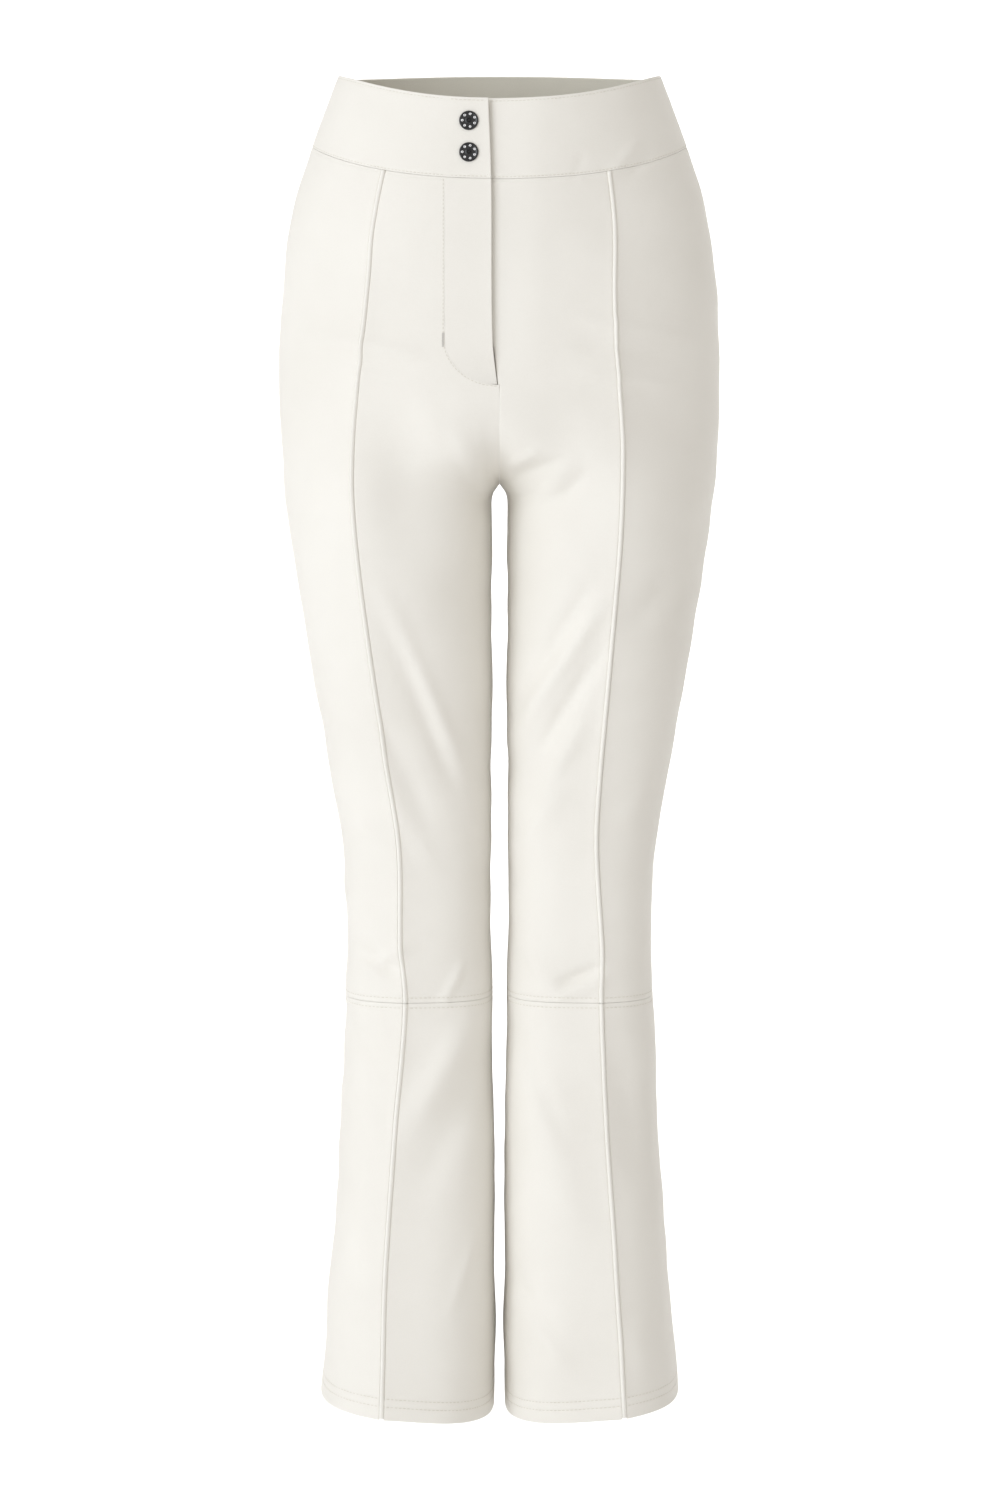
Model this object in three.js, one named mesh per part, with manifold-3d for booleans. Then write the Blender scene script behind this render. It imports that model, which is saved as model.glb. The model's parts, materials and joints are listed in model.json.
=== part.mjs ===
// Flared ski trousers: a high waistband with a snapped tab, a front zip behind a
// placket flap, piped front creases and a seam at each knee. Millimetres, +Z up.
// The wearer faces -Y and the wearer's right leg lies at -X. The origin is the
// middle of the waist opening, level with the top of the side seams.
import * as THREE from 'three';
import { mergeVertices } from 'three/addons/utils/BufferGeometryUtils.js';
import Module from 'manifold-3d';

const wasm = await Module();
wasm.setup();

const right = -1;
const left = 1;
const sides = [[right, 'right'], [left, 'left']];

// Heights are drops: distances down the centre front from the level of the origin.
const waistDip = 23;          // the waist edge at the centre front
const waistRise = 7;          // the waist edge at the centre back, above the sides
const bandHeight = 63;        // waistband at the centre front
const bandSeamLift = 30;      // how far the band seam climbs from centre front to side
const seamSweep = 1.5;        // power of that climb
const flyLength = 161;        // band seam to the foot of the placket flap
const forkDrop = 330;
const kneeDrop = 744;
const hemDrop = 1088;
const hemTilt = 14;           // the outer edge of a hem is this much above the inner
const bandSeamDrop = waistDip + bandHeight;
const flyFoot = bandSeamDrop + flyLength;

// Girths: half the width of the figure, and the depth in front of and behind the
// side seams. gap is half the space between the legs, and way is the share of the way
// down the fly, the thigh or the shin at which a girth is taken.
const waist = { half: 130, front: 92, back: 88 };
const bandSeam = { half: 151.5, front: 97.3, back: 101 };
const highHip = { way: 0.335, half: 168.5, front: 101.9, back: 113 };
const hip = { way: 0.863, half: 178.5, front: 109.1, back: 127 };
const fork = { half: 175.3, front: 106, back: 107, gap: 6.5 };
const upperThigh = { way: 0.222, half: 162.5, front: 93, back: 99, gap: 6.3 };
const midThigh = { way: 0.519, half: 140.8, front: 77, back: 80, gap: 6.2 };
const lowThigh = { way: 0.7, half: 128.3, front: 70, back: 73, gap: 7.4 };
const aboveKnee = { way: 0.85, half: 124.2, front: 67, back: 70, gap: 6.8 };
const knee = { half: 126.3, front: 67, back: 71, gap: 6.5 };
const calf = { way: 0.44, half: 132.8, front: 79, back: 84, gap: 4.2 };
const hem = { half: 148, front: 96, back: 97, gap: 3.8 };
const fullness = 2.3;         // superellipse power of every section
const archHeight = 14;        // height of the round arch between the legs

// Cloth
const cloth = 1.2;            // thickness of the shell cloth
const facing = 0.7;           // thickness of facings and hem turnings
const ply = 0.3;              // clearance between two layers or two pieces
const liftFade = 30;          // the lift of the band has died away this far above the fork
const seamGap = 0.7;          // clearance between panels along the band and knee seams
const pipingWidth = 3;
const pipingHeight = 1.8;
const hemDepth = 20;
const hemTurnGap = 2;         // the hem's turning hangs this clear of the shell

// Fly and zip
const flyWidth = 43;          // centre front to the stitch line where the flap bends
const flapTip = 1.7;          // width of the flap past the centre at its foot
const flapTopEdge = 8.7;      // the flap's free edge stops short of the centre by this
const flapSeamEdge = 6.4;     // the same at the band seam
const flapCurveEdge = 5.4;    // the same where the foot starts to curve
const flyCurve = 36;          // height of the curve at the foot of the flap
const underlapStep = 6.3;     // how deep the left front lies behind the flap
const underlapFade = 25;      // width over which it comes back level
const underlapLead = 5;       // where it starts to come back, short of the centre
const edgeSweep = 8;          // half the height over which its edge meets the flap's
const levelBelow = 10;        // it is level with the right front this far below the flap
const leftEdge = 13;          // the left front reaches this far past the centre
const underlapShort = 1;      // the left band stops this far short of the flap's stitch line
const zipCentre = -24;
const tapeReachRight = 14;
const tapeReachLeft = 16;
const tapeThickness = 0.8;
const coilWidth = 2.4;
const coilDepth = 2.2;
const coilGap = 1.2;          // space between the two coils, for the slider's post
const zipClear = 0.4;         // between the left front and the tape behind it
const zipDepth = underlapStep + cloth + zipClear + tapeThickness / 2;
const zipInset = 7;           // the coils start and end this far inside the fly
const stopGap = 1;            // between the coils and the bottom stop
const sliderWidth = 9.8;
const sliderLength = 11;
const sliderPlate = 0.9;
const pullWidth = 5.4;
const pullLength = 24;
const pullThickness = 1;
const plateGap = 0.4;         // between a slider's plate and the coils, and the pull
const postHeight = 3;         // the slider's post, level with its top
const pegRadius = 0.8;
const pegHead = 1.6;          // radius of the peg's head
const headThickness = 0.4;
const pullEye = 1.15;         // radius of the hole the peg passes through
const eyeInset = 2.6;         // eye to the end of the pull
const gripRadius = 1.2;       // the slot in the pull's tail
const gripTop = 7;            // the slot's ends, from the tail of the pull
const gripFoot = 3.4;
const stopHeight = 2;
const shieldClear = 0.8;      // between the slider and the shield behind it
const shieldInset = 5;        // the shield starts and ends this far inside the fly
const shieldSide = 3;         // and stops this far short of the flap's two edges

// Snap fasteners
const snapOffset = 24;        // centre front to the row of snaps
const snapDrops = [waistDip + 0.29 * bandHeight, waistDip + 0.68 * bandHeight];
const capDiameter = 15.2;
const capHeight = 1.5;
const socketDiameter = 11;
const socketHeight = 2.5;
const knobDiameter = 3.8;
const rivetDiameter = 2.6;
const knobHeight = 1.3;       // how far the stud's knob stands into the socket
const flange = 0.6;           // thickness of the stud's flange
const snapBevel = 0.4;
const snapWall = 0.7;         // heads of the rivets that hold the cap and the stud

// Where the front creases run: pairs of drop and share of the half width.
const creaseBow = 112;        // where they bow most, below the band seam
const creases = {
  right: [[waistDip, 0.6], [bandSeamDrop, 0.605], [bandSeamDrop + creaseBow, 0.59],
    [forkDrop, 0.655], [between(forkDrop, kneeDrop, 0.5), 0.645],
    [between(forkDrop, kneeDrop, 0.68), 0.625], [between(forkDrop, kneeDrop, 0.88), 0.64],
    [kneeDrop, 0.6], [between(kneeDrop, hemDrop, 0.3), 0.64],
    [between(kneeDrop, hemDrop, 0.6), 0.66], [hemDrop, 0.64]],
  left: [[waistDip, 0.57], [bandSeamDrop, 0.57], [bandSeamDrop + creaseBow, 0.505],
    [forkDrop, 0.55], [between(forkDrop, kneeDrop, 0.37), 0.568],
    [between(forkDrop, kneeDrop, 0.65), 0.592], [between(forkDrop, kneeDrop, 0.88), 0.657],
    [kneeDrop, 0.645], [between(kneeDrop, hemDrop, 0.3), 0.657],
    [between(kneeDrop, hemDrop, 0.6), 0.672], [hemDrop, 0.675]],
};

function between(from, to, share) {
  return from + (to - from) * share;
}

function fade(from, to, value) {
  return THREE.MathUtils.smoothstep(value, from, to);
}

function signedPower(value, power) {
  return Math.sign(value) * Math.abs(value) ** power;
}

// A smooth curve through [drop, value] pairs: a cubic between each two, whose slope at
// a pair is that of the line joining its neighbours.
function curveThrough(pairs) {
  const slopes = pairs.map((pair, i) => {
    const before = pairs[Math.max(i - 1, 0)];
    const after = pairs[Math.min(i + 1, pairs.length - 1)];
    return (after[1] - before[1]) / (after[0] - before[0]);
  });
  return (drop) => {
    let i = 0;
    while (i < pairs.length - 2 && drop > pairs[i + 1][0]) i += 1;
    const span = pairs[i + 1][0] - pairs[i][0];
    const t = THREE.MathUtils.clamp((drop - pairs[i][0]) / span, 0, 1);
    const rise = t * t * (3 - 2 * t);
    return pairs[i][1] * (1 - rise) + pairs[i + 1][1] * rise
      + span * t * (1 - t) * (slopes[i] * (1 - t) - slopes[i + 1] * t);
  };
}

const hipDrop = between(bandSeamDrop, flyFoot, hip.way);
const stations = [
  [waistDip, waist], [bandSeamDrop, bandSeam],
  [between(bandSeamDrop, flyFoot, highHip.way), highHip], [hipDrop, hip], [forkDrop, fork],
  [between(forkDrop, kneeDrop, upperThigh.way), upperThigh],
  [between(forkDrop, kneeDrop, midThigh.way), midThigh],
  [between(forkDrop, kneeDrop, lowThigh.way), lowThigh],
  [between(forkDrop, kneeDrop, aboveKnee.way), aboveKnee], [kneeDrop, knee],
  [between(kneeDrop, hemDrop, calf.way), calf], [hemDrop, hem],
];
const curveOf = (size, from = 0) => curveThrough(
  stations.slice(from).map(([drop, girth]) => [drop, girth[size]]));
const halfWidthAt = curveOf('half');
const frontAt = curveOf('front');
const backAt = curveOf('back');
const gapAt = curveOf('gap', stations.findIndex(([, girth]) => girth === fork));
const creaseAt = { [right]: curveThrough(creases.right), [left]: curveThrough(creases.left) };

// The section of one side at a drop: a superellipse about x = centre, whole below the
// fork and cut off at x = 0 above it, where the centre slides in to the middle.
function sectionAt(drop) {
  const half = halfWidthAt(drop);
  const slide = fade(flyFoot, forkDrop, drop);
  const arch = THREE.MathUtils.clamp((drop - forkDrop) / archHeight, 0, 1);
  const gap = drop > forkDrop ? gapAt(drop) * Math.sqrt(arch * (2 - arch)) : 0;
  const centre = (half * slide + gap) / 2;
  return { centre, across: half - centre, gap, half, front: frontAt(drop), back: backAt(drop) };
}

// How far a point is raised over the drop of its row: the band climbs to the sides and
// back, and the hem climbs to its outer edge.
function lift(turn, drop) {
  const deep = Math.abs(Math.sin(turn));
  const atWaist = turn < 0 ? waistDip * (1 - deep ** 2) : waistDip + waistRise * deep ** 2;
  const atSeam = turn < 0 ? bandSeamLift * (1 - deep ** seamSweep) : bandSeamLift;
  const share = THREE.MathUtils.clamp((drop - waistDip) / bandHeight, 0, 1);
  const band = between(atWaist, atSeam, share) * (1 - fade(bandSeamDrop, forkDrop - liftFade, drop));
  const outward = (1 + signedPower(Math.cos(turn), 2 / fullness)) / 2;
  const foot = Math.max(0, (drop - kneeDrop) / (hemDrop - kneeDrop));
  return band + hemTilt * outward * foot;
}

// A point on the outer face of the cloth. turn goes round from the side seam at 0,
// negative through the front and positive through the back.
function clothPoint(side, turn, drop) {
  const section = sectionAt(drop);
  const depth = Math.sin(turn) < 0 ? section.front : section.back;
  return new THREE.Vector3(
    side * (section.centre + section.across * signedPower(Math.cos(turn), 2 / fullness)),
    depth * signedPower(Math.sin(turn), 2 / fullness),
    lift(turn, drop) - drop,
  );
}

function clothNormal(side, turn, drop) {
  const angle = 0.01;
  const step = 0.5;
  const round = clothPoint(side, turn + angle, drop).sub(clothPoint(side, turn - angle, drop));
  const down = clothPoint(side, turn, drop + step).sub(clothPoint(side, turn, drop - step));
  return round.cross(down).multiplyScalar(-side).normalize();
}

// The turn in the front where the cloth is at this distance from the middle.
function frontTurn(distance, drop) {
  const { centre, across } = sectionAt(drop);
  const share = THREE.MathUtils.clamp((distance - centre) / across, -1, 1);
  return -Math.acos(signedPower(share, fullness / 2));
}

// A turn moved this far along the cloth.
function nudge(turn, drop, distance) {
  const from = clothPoint(left, turn, drop);
  let moved = turn + distance / 100;
  for (let i = 0; i < 6; i += 1) {
    const reached = from.distanceTo(clothPoint(left, moved, drop));
    moved = turn + (moved - turn) * Math.abs(distance) / reached;
  }
  return moved;
}

function creaseTurn(side, drop) {
  return frontTurn(creaseAt[side](drop) * halfWidthAt(drop), drop);
}

// Where a panel meets its neighbour at the middle: the centre seam above the fork and
// the inseam below it. way is -1 in front and 1 behind.
function innerTurn(way, drop) {
  const seam = frontTurn(ply / 2, drop);
  const inseam = nudge(-Math.PI, drop, ply / 2);
  return -way * Math.max(seam, inseam);
}

// Distance from the centre front to the curved edge where the flap meets the right
// front, moved into the flap by inset.
function flapCurve(drop, inset) {
  const start = flyFoot - flyCurve;
  const down = THREE.MathUtils.clamp((drop - start) / (flyCurve - inset), 0, 1);
  const bend = 1 - Math.sqrt(1 - down * down);
  return flyWidth - inset - (flyWidth - inset - flapTip) * bend;
}

const flapEdgeAt = curveThrough([[waistDip, flapTopEdge], [bandSeamDrop, flapSeamEdge],
  [flyFoot - flyCurve, flapCurveEdge], [flyFoot, flapTip]]);

// The left front passes behind the flap, and comes level with it at the foot.
function leftEdgeTurn(drop) {
  if (drop > flyFoot) return innerTurn(-1, drop);
  const start = flyFoot - flyCurve;
  const out = fade(start - edgeSweep, start + edgeSweep, drop);
  return frontTurn(-between(leftEdge, flapEdgeAt(drop) - 2 * ply, out), drop);
}

function rightEdgeTurn(drop) {
  if (drop > flyFoot) return innerTurn(-1, drop);
  return frontTurn(flapCurve(drop, -ply / 2), drop);
}

function underlapDepth(side, turn, drop) {
  if (side === right || turn > 0) return 0;
  const { centre, across } = sectionAt(drop);
  const x = centre + across * signedPower(Math.cos(turn), 2 / fullness);
  const level = fade(flyFoot - flyCurve + edgeSweep, flyFoot + levelBelow, drop);
  return underlapStep * (1 - fade(-underlapLead, underlapFade - underlapLead, x)) * (1 - level);
}

function solidMesh(name, geometry, material) {
  const mesh = new THREE.Mesh(geometry, material);
  mesh.name = name;
  return mesh;
}

function material(color, roughness, metalness = 0) {
  return new THREE.MeshStandardMaterial({ color, roughness, metalness });
}

// A closed geometry from points and faces, turned so that its faces point outwards.
function closedGeometry(points, faces) {
  const volume = faces.reduce((sum, [a, b, c]) => sum
    + points[a].dot(points[b].clone().cross(points[c])), 0);
  const indices = faces.flatMap(([a, b, c]) => (volume > 0 ? [a, b, c] : [a, c, b]));
  const geometry = new THREE.BufferGeometry().setFromPoints(points);
  geometry.setIndex(indices);
  return geometry;
}

// A sheet of cloth with thickness. start and end give the turn of each row's ends,
// near and far how deep its two faces lie under the outer face of the cloth, and
// settle moves the points of the last row.
function clothSheet({ side, drops, columns, start, end, near, far, settle = null, ring = false }) {
  const rows = drops.length;
  const across = ring ? columns : columns + 1;
  const points = [];
  for (const depth of [near, far]) {
    drops.forEach((drop, row) => {
      const from = start(drop);
      const to = end(drop);
      for (let column = 0; column < across; column += 1) {
        const turn = between(from, to, column / columns);
        const total = depth + underlapDepth(side, turn, drop);
        const point = clothPoint(side, turn, drop);
        point.addScaledVector(clothNormal(side, turn, drop), -total);
        if (settle && row === rows - 1) settle(point);
        points.push(point);
      }
    });
  }
  const at = (layer, row, column) => (layer * rows + row) * across + (column % across);
  const faces = [];
  const quad = (a, b, c, d) => faces.push([a, b, c], [a, c, d]);
  for (let column = 0; column < columns; column += 1) {
    for (let row = 0; row < rows - 1; row += 1) {
      for (const layer of [0, 1]) {
        const next = [[row, column + 1], [row + 1, column + 1], [row + 1, column]];
        if (layer === 1) next.reverse();
        quad(at(layer, row, column), ...next.map(([r, c]) => at(layer, r, c)));
      }
    }
    for (const row of [0, rows - 1]) {
      const corners = [at(0, row, column), at(1, row, column), at(1, row, column + 1),
        at(0, row, column + 1)];
      if (row > 0) corners.reverse();
      quad(...corners);
    }
  }
  for (let row = 0; !ring && row < rows - 1; row += 1) {
    for (const column of [0, columns]) {
      const corners = [at(0, row, column), at(0, row + 1, column), at(1, row + 1, column),
        at(1, row, column)];
      if (column > 0) corners.reverse();
      quad(...corners);
    }
  }
  return closedGeometry(points, faces);
}

function steps(from, to, count) {
  return Array.from({ length: count + 1 }, (_, i) => between(from, to, i / count));
}

// Rows of the curve at the flap's foot, closer together where it runs level.
function curveDrops(inset, last = 6) {
  const turns = Array.from({ length: last }, (_, i) => (i + 1) * Math.PI / 12);
  return turns.map((turn) => flyFoot - flyCurve + (flyCurve - inset) * Math.sin(turn));
}

const bandDrops = steps(waistDip, bandSeamDrop - seamGap / 2, 3);
const flyDrops = steps(bandSeamDrop + seamGap / 2, flyFoot - flyCurve, 4);
const nearFork = [-10, -4, 0, 5];   // rows of points close above and below the fork
const upperDrops = [
  ...flyDrops, ...curveDrops(0), ...steps(flyFoot + 2 * ply, forkDrop + 2 * nearFork[0], 3),
  ...nearFork.map((step) => forkDrop + step),
  ...steps(forkDrop + archHeight, kneeDrop - seamGap / 2, 8),
];
const lowerDrops = steps(kneeDrop + seamGap / 2, hemDrop, 6);

const creamCloth = material(0xf2eee4, 0.85);
const facingCloth = material(0xbdb9a6, 0.9);
const tapeCloth = material(0xe9e4d8, 0.85);
const blackMetal = material(0x0d0d10, 0.2, 0.6);
const steel = material(0xb9bcc0, 0.35, 0.9);

const trousers = new THREE.Group();

// A hem is cut flat: its edge lies in a plane that climbs to the outer side.
function settleOnHem(side) {
  const { gap, half } = sectionAt(hemDrop);
  return (point) => {
    point.z = hemTilt * (side * point.x - gap) / (half - gap) - hemDrop;
  };
}

function legPanels(side, name) {
  const crease = (offset) => (drop) => nudge(creaseTurn(side, drop), drop, offset);
  const sideSeam = (way) => (drop) => nudge(0, drop, way * ply / 2);
  const pipe = pipingWidth / 2;
  const frontEdge = side === right ? rightEdgeTurn : leftEdgeTurn;
  const pieces = [
    ['front_side', 4, sideSeam(-1), crease(pipe + ply), 0],
    ['piping', 1, crease(pipe), crease(-pipe), -pipingHeight],
    ['front_centre', 8, crease(-pipe - ply), frontEdge, 0],
    ['back', 10, sideSeam(1), (drop) => innerTurn(1, drop), 0],
  ];
  for (const [piece, columns, start, end, near] of pieces) {
    for (const [level, drops] of [['upper', upperDrops], ['lower', lowerDrops]]) {
      const settle = level === 'lower' ? settleOnHem(side) : null;
      const sheet = clothSheet({ side, drops, columns, start, end, near, far: cloth, settle });
      trousers.add(solidMesh(`${piece}_${level}_${name}`, sheet, creamCloth));
    }
  }
}

function hemFacing(side, name) {
  const near = cloth + hemTurnGap;
  const sheet = clothSheet({
    side, drops: steps(hemDrop - hemDepth, hemDrop, 1), columns: 32, ring: true,
    start: () => -Math.PI, end: () => Math.PI, near, far: near + facing,
    settle: settleOnHem(side),
  });
  trousers.add(solidMesh(`hem_facing_${name}`, sheet, facingCloth));
}

// Waistband: outer pieces and their facings, which follow them one layer in.
function waistband() {
  const bandEdge = (drop) => frontTurn(flyWidth + ply / 2, drop);
  const tabStart = (drop) => frontTurn(flyWidth - ply / 2, drop);
  const tabEnd = (drop) => frontTurn(flapEdgeAt(drop), drop);
  const underlapEnd = (drop) => frontTurn(underlapShort - flyWidth, drop);
  const seam = (way) => (drop) => nudge(0, drop, way * ply / 2);
  const pieces = [
    ['waistband_front_right', right, 12, seam(-1), bandEdge],
    ['waistband_front_left', left, 20, seam(-1), underlapEnd],
    ['waistband_tab', right, 4, tabStart, tabEnd],
  ];
  for (const [name, side, columns, start, end] of pieces) {
    const inner = cloth + ply;
    for (const [piece, near, far, stuff] of [[name, 0, cloth, creamCloth],
      [`${name}_facing`, inner, inner + facing, facingCloth]]) {
      const sheet = clothSheet({ side, drops: bandDrops, columns, start, end, near, far });
      trousers.add(solidMesh(piece, sheet, stuff));
    }
  }
}

function waistbandBack() {
  const inner = cloth + ply;
  for (const [name, near, far, stuff] of [['waistband_back', 0, cloth, creamCloth],
    ['waistband_back_facing', inner, inner + facing, facingCloth]]) {
    const start = (drop) => nudge(0, drop, ply / 2);
    const end = (drop) => Math.PI - start(drop);
    const sheet = clothSheet({ side: left, drops: bandDrops, columns: 20, start, end, near, far });
    trousers.add(solidMesh(name, sheet, stuff));
  }
}

// Flap over the zip, its facing, and the shield that lies behind the zip.
function placket() {
  const drops = [...flyDrops, ...curveDrops(ply, 5)];
  const edge = (drop) => frontTurn(flapEdgeAt(drop), drop);
  trousers.add(solidMesh('placket_flap', clothSheet({
    side: right, drops, columns: 4, start: (drop) => frontTurn(flapCurve(drop, ply), drop),
    end: edge, near: 0, far: cloth,
  }), creamCloth));
  const inner = cloth + ply;
  trousers.add(solidMesh('placket_facing', clothSheet({
    side: right, drops: [...flyDrops, ...curveDrops(1 + ply, 5)], columns: 4,
    start: (drop) => frontTurn(flapCurve(drop, 1 + ply), drop),
    end: edge, near: inner, far: inner + facing,
  }), facingCloth));
  const shieldDepth = zipDepth + coilDepth / 2 + plateGap + sliderPlate + shieldClear;
  trousers.add(solidMesh('fly_shield', clothSheet({
    side: right, drops: steps(bandSeamDrop + shieldInset, flyFoot - shieldInset, 4), columns: 4,
    start: (drop) => frontTurn(flyWidth - shieldSide, drop),
    end: (drop) => frontTurn(shieldSide, drop),
    near: shieldDepth, far: shieldDepth + cloth,
  }), creamCloth));
}

// The zip lies in a plane under the front, set back by as much as the cloth sags behind
// a straight line down the fly. In it x is the garment's own, y is the depth under the
// cloth and z runs up the fly from the waist edge.
const flySlope = (hip.front - waist.front) / (hipDrop - waistDip);
const flySag = Math.max(...steps(bandSeamDrop, flyFoot - flyCurve, 12).map(
  (drop) => waist.front + flySlope * (drop - waistDip) - frontAt(drop)));
const flyPlane = new THREE.Group();
flyPlane.position.set(0, flySag - waist.front, -waistDip);
flyPlane.rotation.x = -Math.atan(flySlope);
trousers.add(flyPlane);
const flyHeight = (drop) => -(drop - waistDip) * Math.hypot(1, flySlope);
const zipTop = flyHeight(bandSeamDrop + zipInset);
const zipFoot = flyHeight(flyFoot - zipInset);

function box(width, depth, height, x, y, z) {
  return new THREE.BoxGeometry(width, depth, height).translate(x, y, z);
}

// An outline in the x-z plane given a thickness, with its middle at this depth.
function plate(shape, thickness, depth) {
  const geometry = new THREE.ExtrudeGeometry(shape, {
    depth: thickness, bevelEnabled: false, curveSegments: 6,
  });
  return geometry.translate(0, 0, -thickness / 2).rotateX(Math.PI / 2).translate(0, depth, 0);
}

function toManifold(geometry) {
  const bare = new THREE.BufferGeometry();
  bare.setAttribute('position', geometry.getAttribute('position').clone());
  if (geometry.index) bare.setIndex(geometry.index.clone());
  const merged = mergeVertices(bare, 1e-4);
  return new wasm.Manifold(new wasm.Mesh({
    numProp: 3, vertProperties: merged.attributes.position.array,
    triVerts: new Uint32Array(merged.index.array),
  }));
}

function fromManifold(solid) {
  const mesh = solid.getMesh();
  const geometry = new THREE.BufferGeometry();
  geometry.setAttribute('position', new THREE.BufferAttribute(mesh.vertProperties, 3));
  geometry.setIndex(new THREE.BufferAttribute(mesh.triVerts, 1));
  return geometry;
}

function joined(geometries) {
  return fromManifold(geometries.map(toManifold).reduce((sum, solid) => sum.add(solid)));
}

function roundedPlate(width, height, radius) {
  const shape = new THREE.Shape();
  shape.moveTo(-width / 2 + radius, -height / 2);
  shape.lineTo(width / 2 - radius, -height / 2);
  shape.absarc(width / 2 - radius, -height / 2 + radius, radius, -Math.PI / 2, 0);
  shape.absarc(width / 2 - radius, height / 2 - radius, radius, 0, Math.PI / 2);
  shape.absarc(-width / 2 + radius, height / 2 - radius, radius, Math.PI / 2, Math.PI);
  shape.absarc(-width / 2 + radius, -height / 2 + radius, radius, Math.PI, 1.5 * Math.PI);
  return shape;
}

function zipHalves() {
  const length = zipTop - zipFoot;
  const middle = (zipTop + zipFoot) / 2;
  for (const [side, name, reach] of [[right, 'right', tapeReachRight], [left, 'left', tapeReachLeft]]) {
    const coilEdge = coilGap / 2 + coilWidth;
    const tapeWidth = reach - coilEdge - ply;
    const coilX = zipCentre + side * (coilGap + coilWidth) / 2;
    const tapeX = zipCentre + side * (reach - tapeWidth / 2);
    const section = roundedPlate(coilWidth, coilDepth, coilWidth / 4);
    const coil = new THREE.ExtrudeGeometry(section, {
      depth: length, bevelEnabled: false, curveSegments: 2,
    });
    coil.translate(coilX, zipDepth, zipFoot);
    flyPlane.add(solidMesh(`zip_coil_${name}`, coil, steel));
    const tape = box(tapeWidth, tapeThickness, length, tapeX, zipDepth, middle);
    flyPlane.add(solidMesh(`zip_tape_${name}`, tape, tapeCloth));
    const stop = box(coilWidth, coilDepth, stopHeight, coilX, zipDepth, zipTop + ply + stopHeight / 2);
    flyPlane.add(solidMesh(`zip_top_stop_${name}`, stop, steel));
  }
  const width = coilGap + 2 * coilWidth;
  const foot = box(width, coilDepth, stopHeight, zipCentre, zipDepth, zipFoot - stopGap - stopHeight / 2);
  flyPlane.add(solidMesh('zip_bottom_stop', foot, steel));
}

// Two plates joined by a post between the coils, a lip on each plate over the left
// tape, and a headed peg on the front plate for the pull.
const sliderTop = zipTop - stopGap;
const platesApart = coilDepth / 2 + plateGap + sliderPlate / 2;
const pegHeight = sliderTop - postHeight;
const pullDepth = zipDepth - platesApart - sliderPlate / 2 - plateGap - pullThickness / 2;

function zipSlider() {
  const frontPlate = zipDepth - platesApart;
  const backPlate = zipDepth + platesApart;
  const middle = sliderTop - sliderLength / 2;
  const outline = roundedPlate(sliderWidth, sliderLength, sliderWidth / 4.5);
  const plates = [frontPlate, backPlate].map(
    (depth) => plate(outline, sliderPlate, depth).translate(zipCentre, 0, middle));
  const post = box(coilGap - 2 * ply, 2 * platesApart, postHeight,
    zipCentre, zipDepth, sliderTop - postHeight / 2);
  const lipWidth = sliderWidth / 2 - coilGap / 2 - coilWidth - ply;
  const lipX = zipCentre + sliderWidth / 2 - lipWidth / 2;
  const slot = tapeThickness / 2 + ply;
  const lipDepth = platesApart - slot;
  const lips = [-1, 1].map((way) => box(lipWidth, lipDepth, sliderLength / 2, lipX,
    zipDepth + way * (slot + lipDepth / 2), middle));
  const headDepth = pullDepth - pullThickness / 2 - ply;
  const pegFoot = headDepth - headThickness / 2;
  const peg = new THREE.CylinderGeometry(pegRadius, pegRadius, frontPlate - pegFoot, 16)
    .translate(zipCentre, (frontPlate + pegFoot) / 2, pegHeight);
  const head = new THREE.CylinderGeometry(pegHead, pegHead, headThickness, 16)
    .translate(zipCentre, headDepth - headThickness / 2, pegHeight);
  flyPlane.add(solidMesh('zip_slider', joined([...plates, post, ...lips, peg, head]), steel));
}

function zipPull() {
  const shape = roundedPlate(pullWidth, pullLength, pullWidth / 3);
  const end = pullLength / 2;
  shape.holes.push(new THREE.Path().absarc(0, end - eyeInset, pullEye, 0, 2 * Math.PI, true));
  const grip = new THREE.Path();
  grip.absarc(0, gripTop - end, gripRadius, 0, Math.PI);
  grip.absarc(0, gripFoot - end, gripRadius, Math.PI, 2 * Math.PI);
  shape.holes.push(grip);
  const pull = plate(shape, pullThickness, pullDepth)
    .translate(zipCentre, 0, pegHeight + eyeInset - pullLength / 2);
  flyPlane.add(solidMesh('zip_pull', pull, steel));
}

// A snap's own frame: its z axis is the outward normal of the tab at its centre.
function snapSeat(drop) {
  const turn = frontTurn(snapOffset, drop);
  const seat = new THREE.Group();
  seat.position.copy(clothPoint(right, turn, drop));
  seat.quaternion.setFromUnitVectors(new THREE.Vector3(0, 0, 1), clothNormal(right, turn, drop));
  seat.updateMatrix();
  return seat;
}

// A turned piece about a snap's axis. profile pairs are [radius, depth under the tab].
function turned(profile, segments = 16) {
  const points = profile.map(([radius, depth]) => new THREE.Vector2(radius, -depth)).reverse();
  return new THREE.LatheGeometry(points, segments).rotateX(Math.PI / 2);
}

const layers = cloth + ply + facing;
const socketNear = layers + ply;
const socketFar = socketNear + socketHeight;
const underlapNear = underlapStep;
const underlapFar = underlapNear + layers;
const rivetHole = rivetDiameter / 2 + ply;

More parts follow.
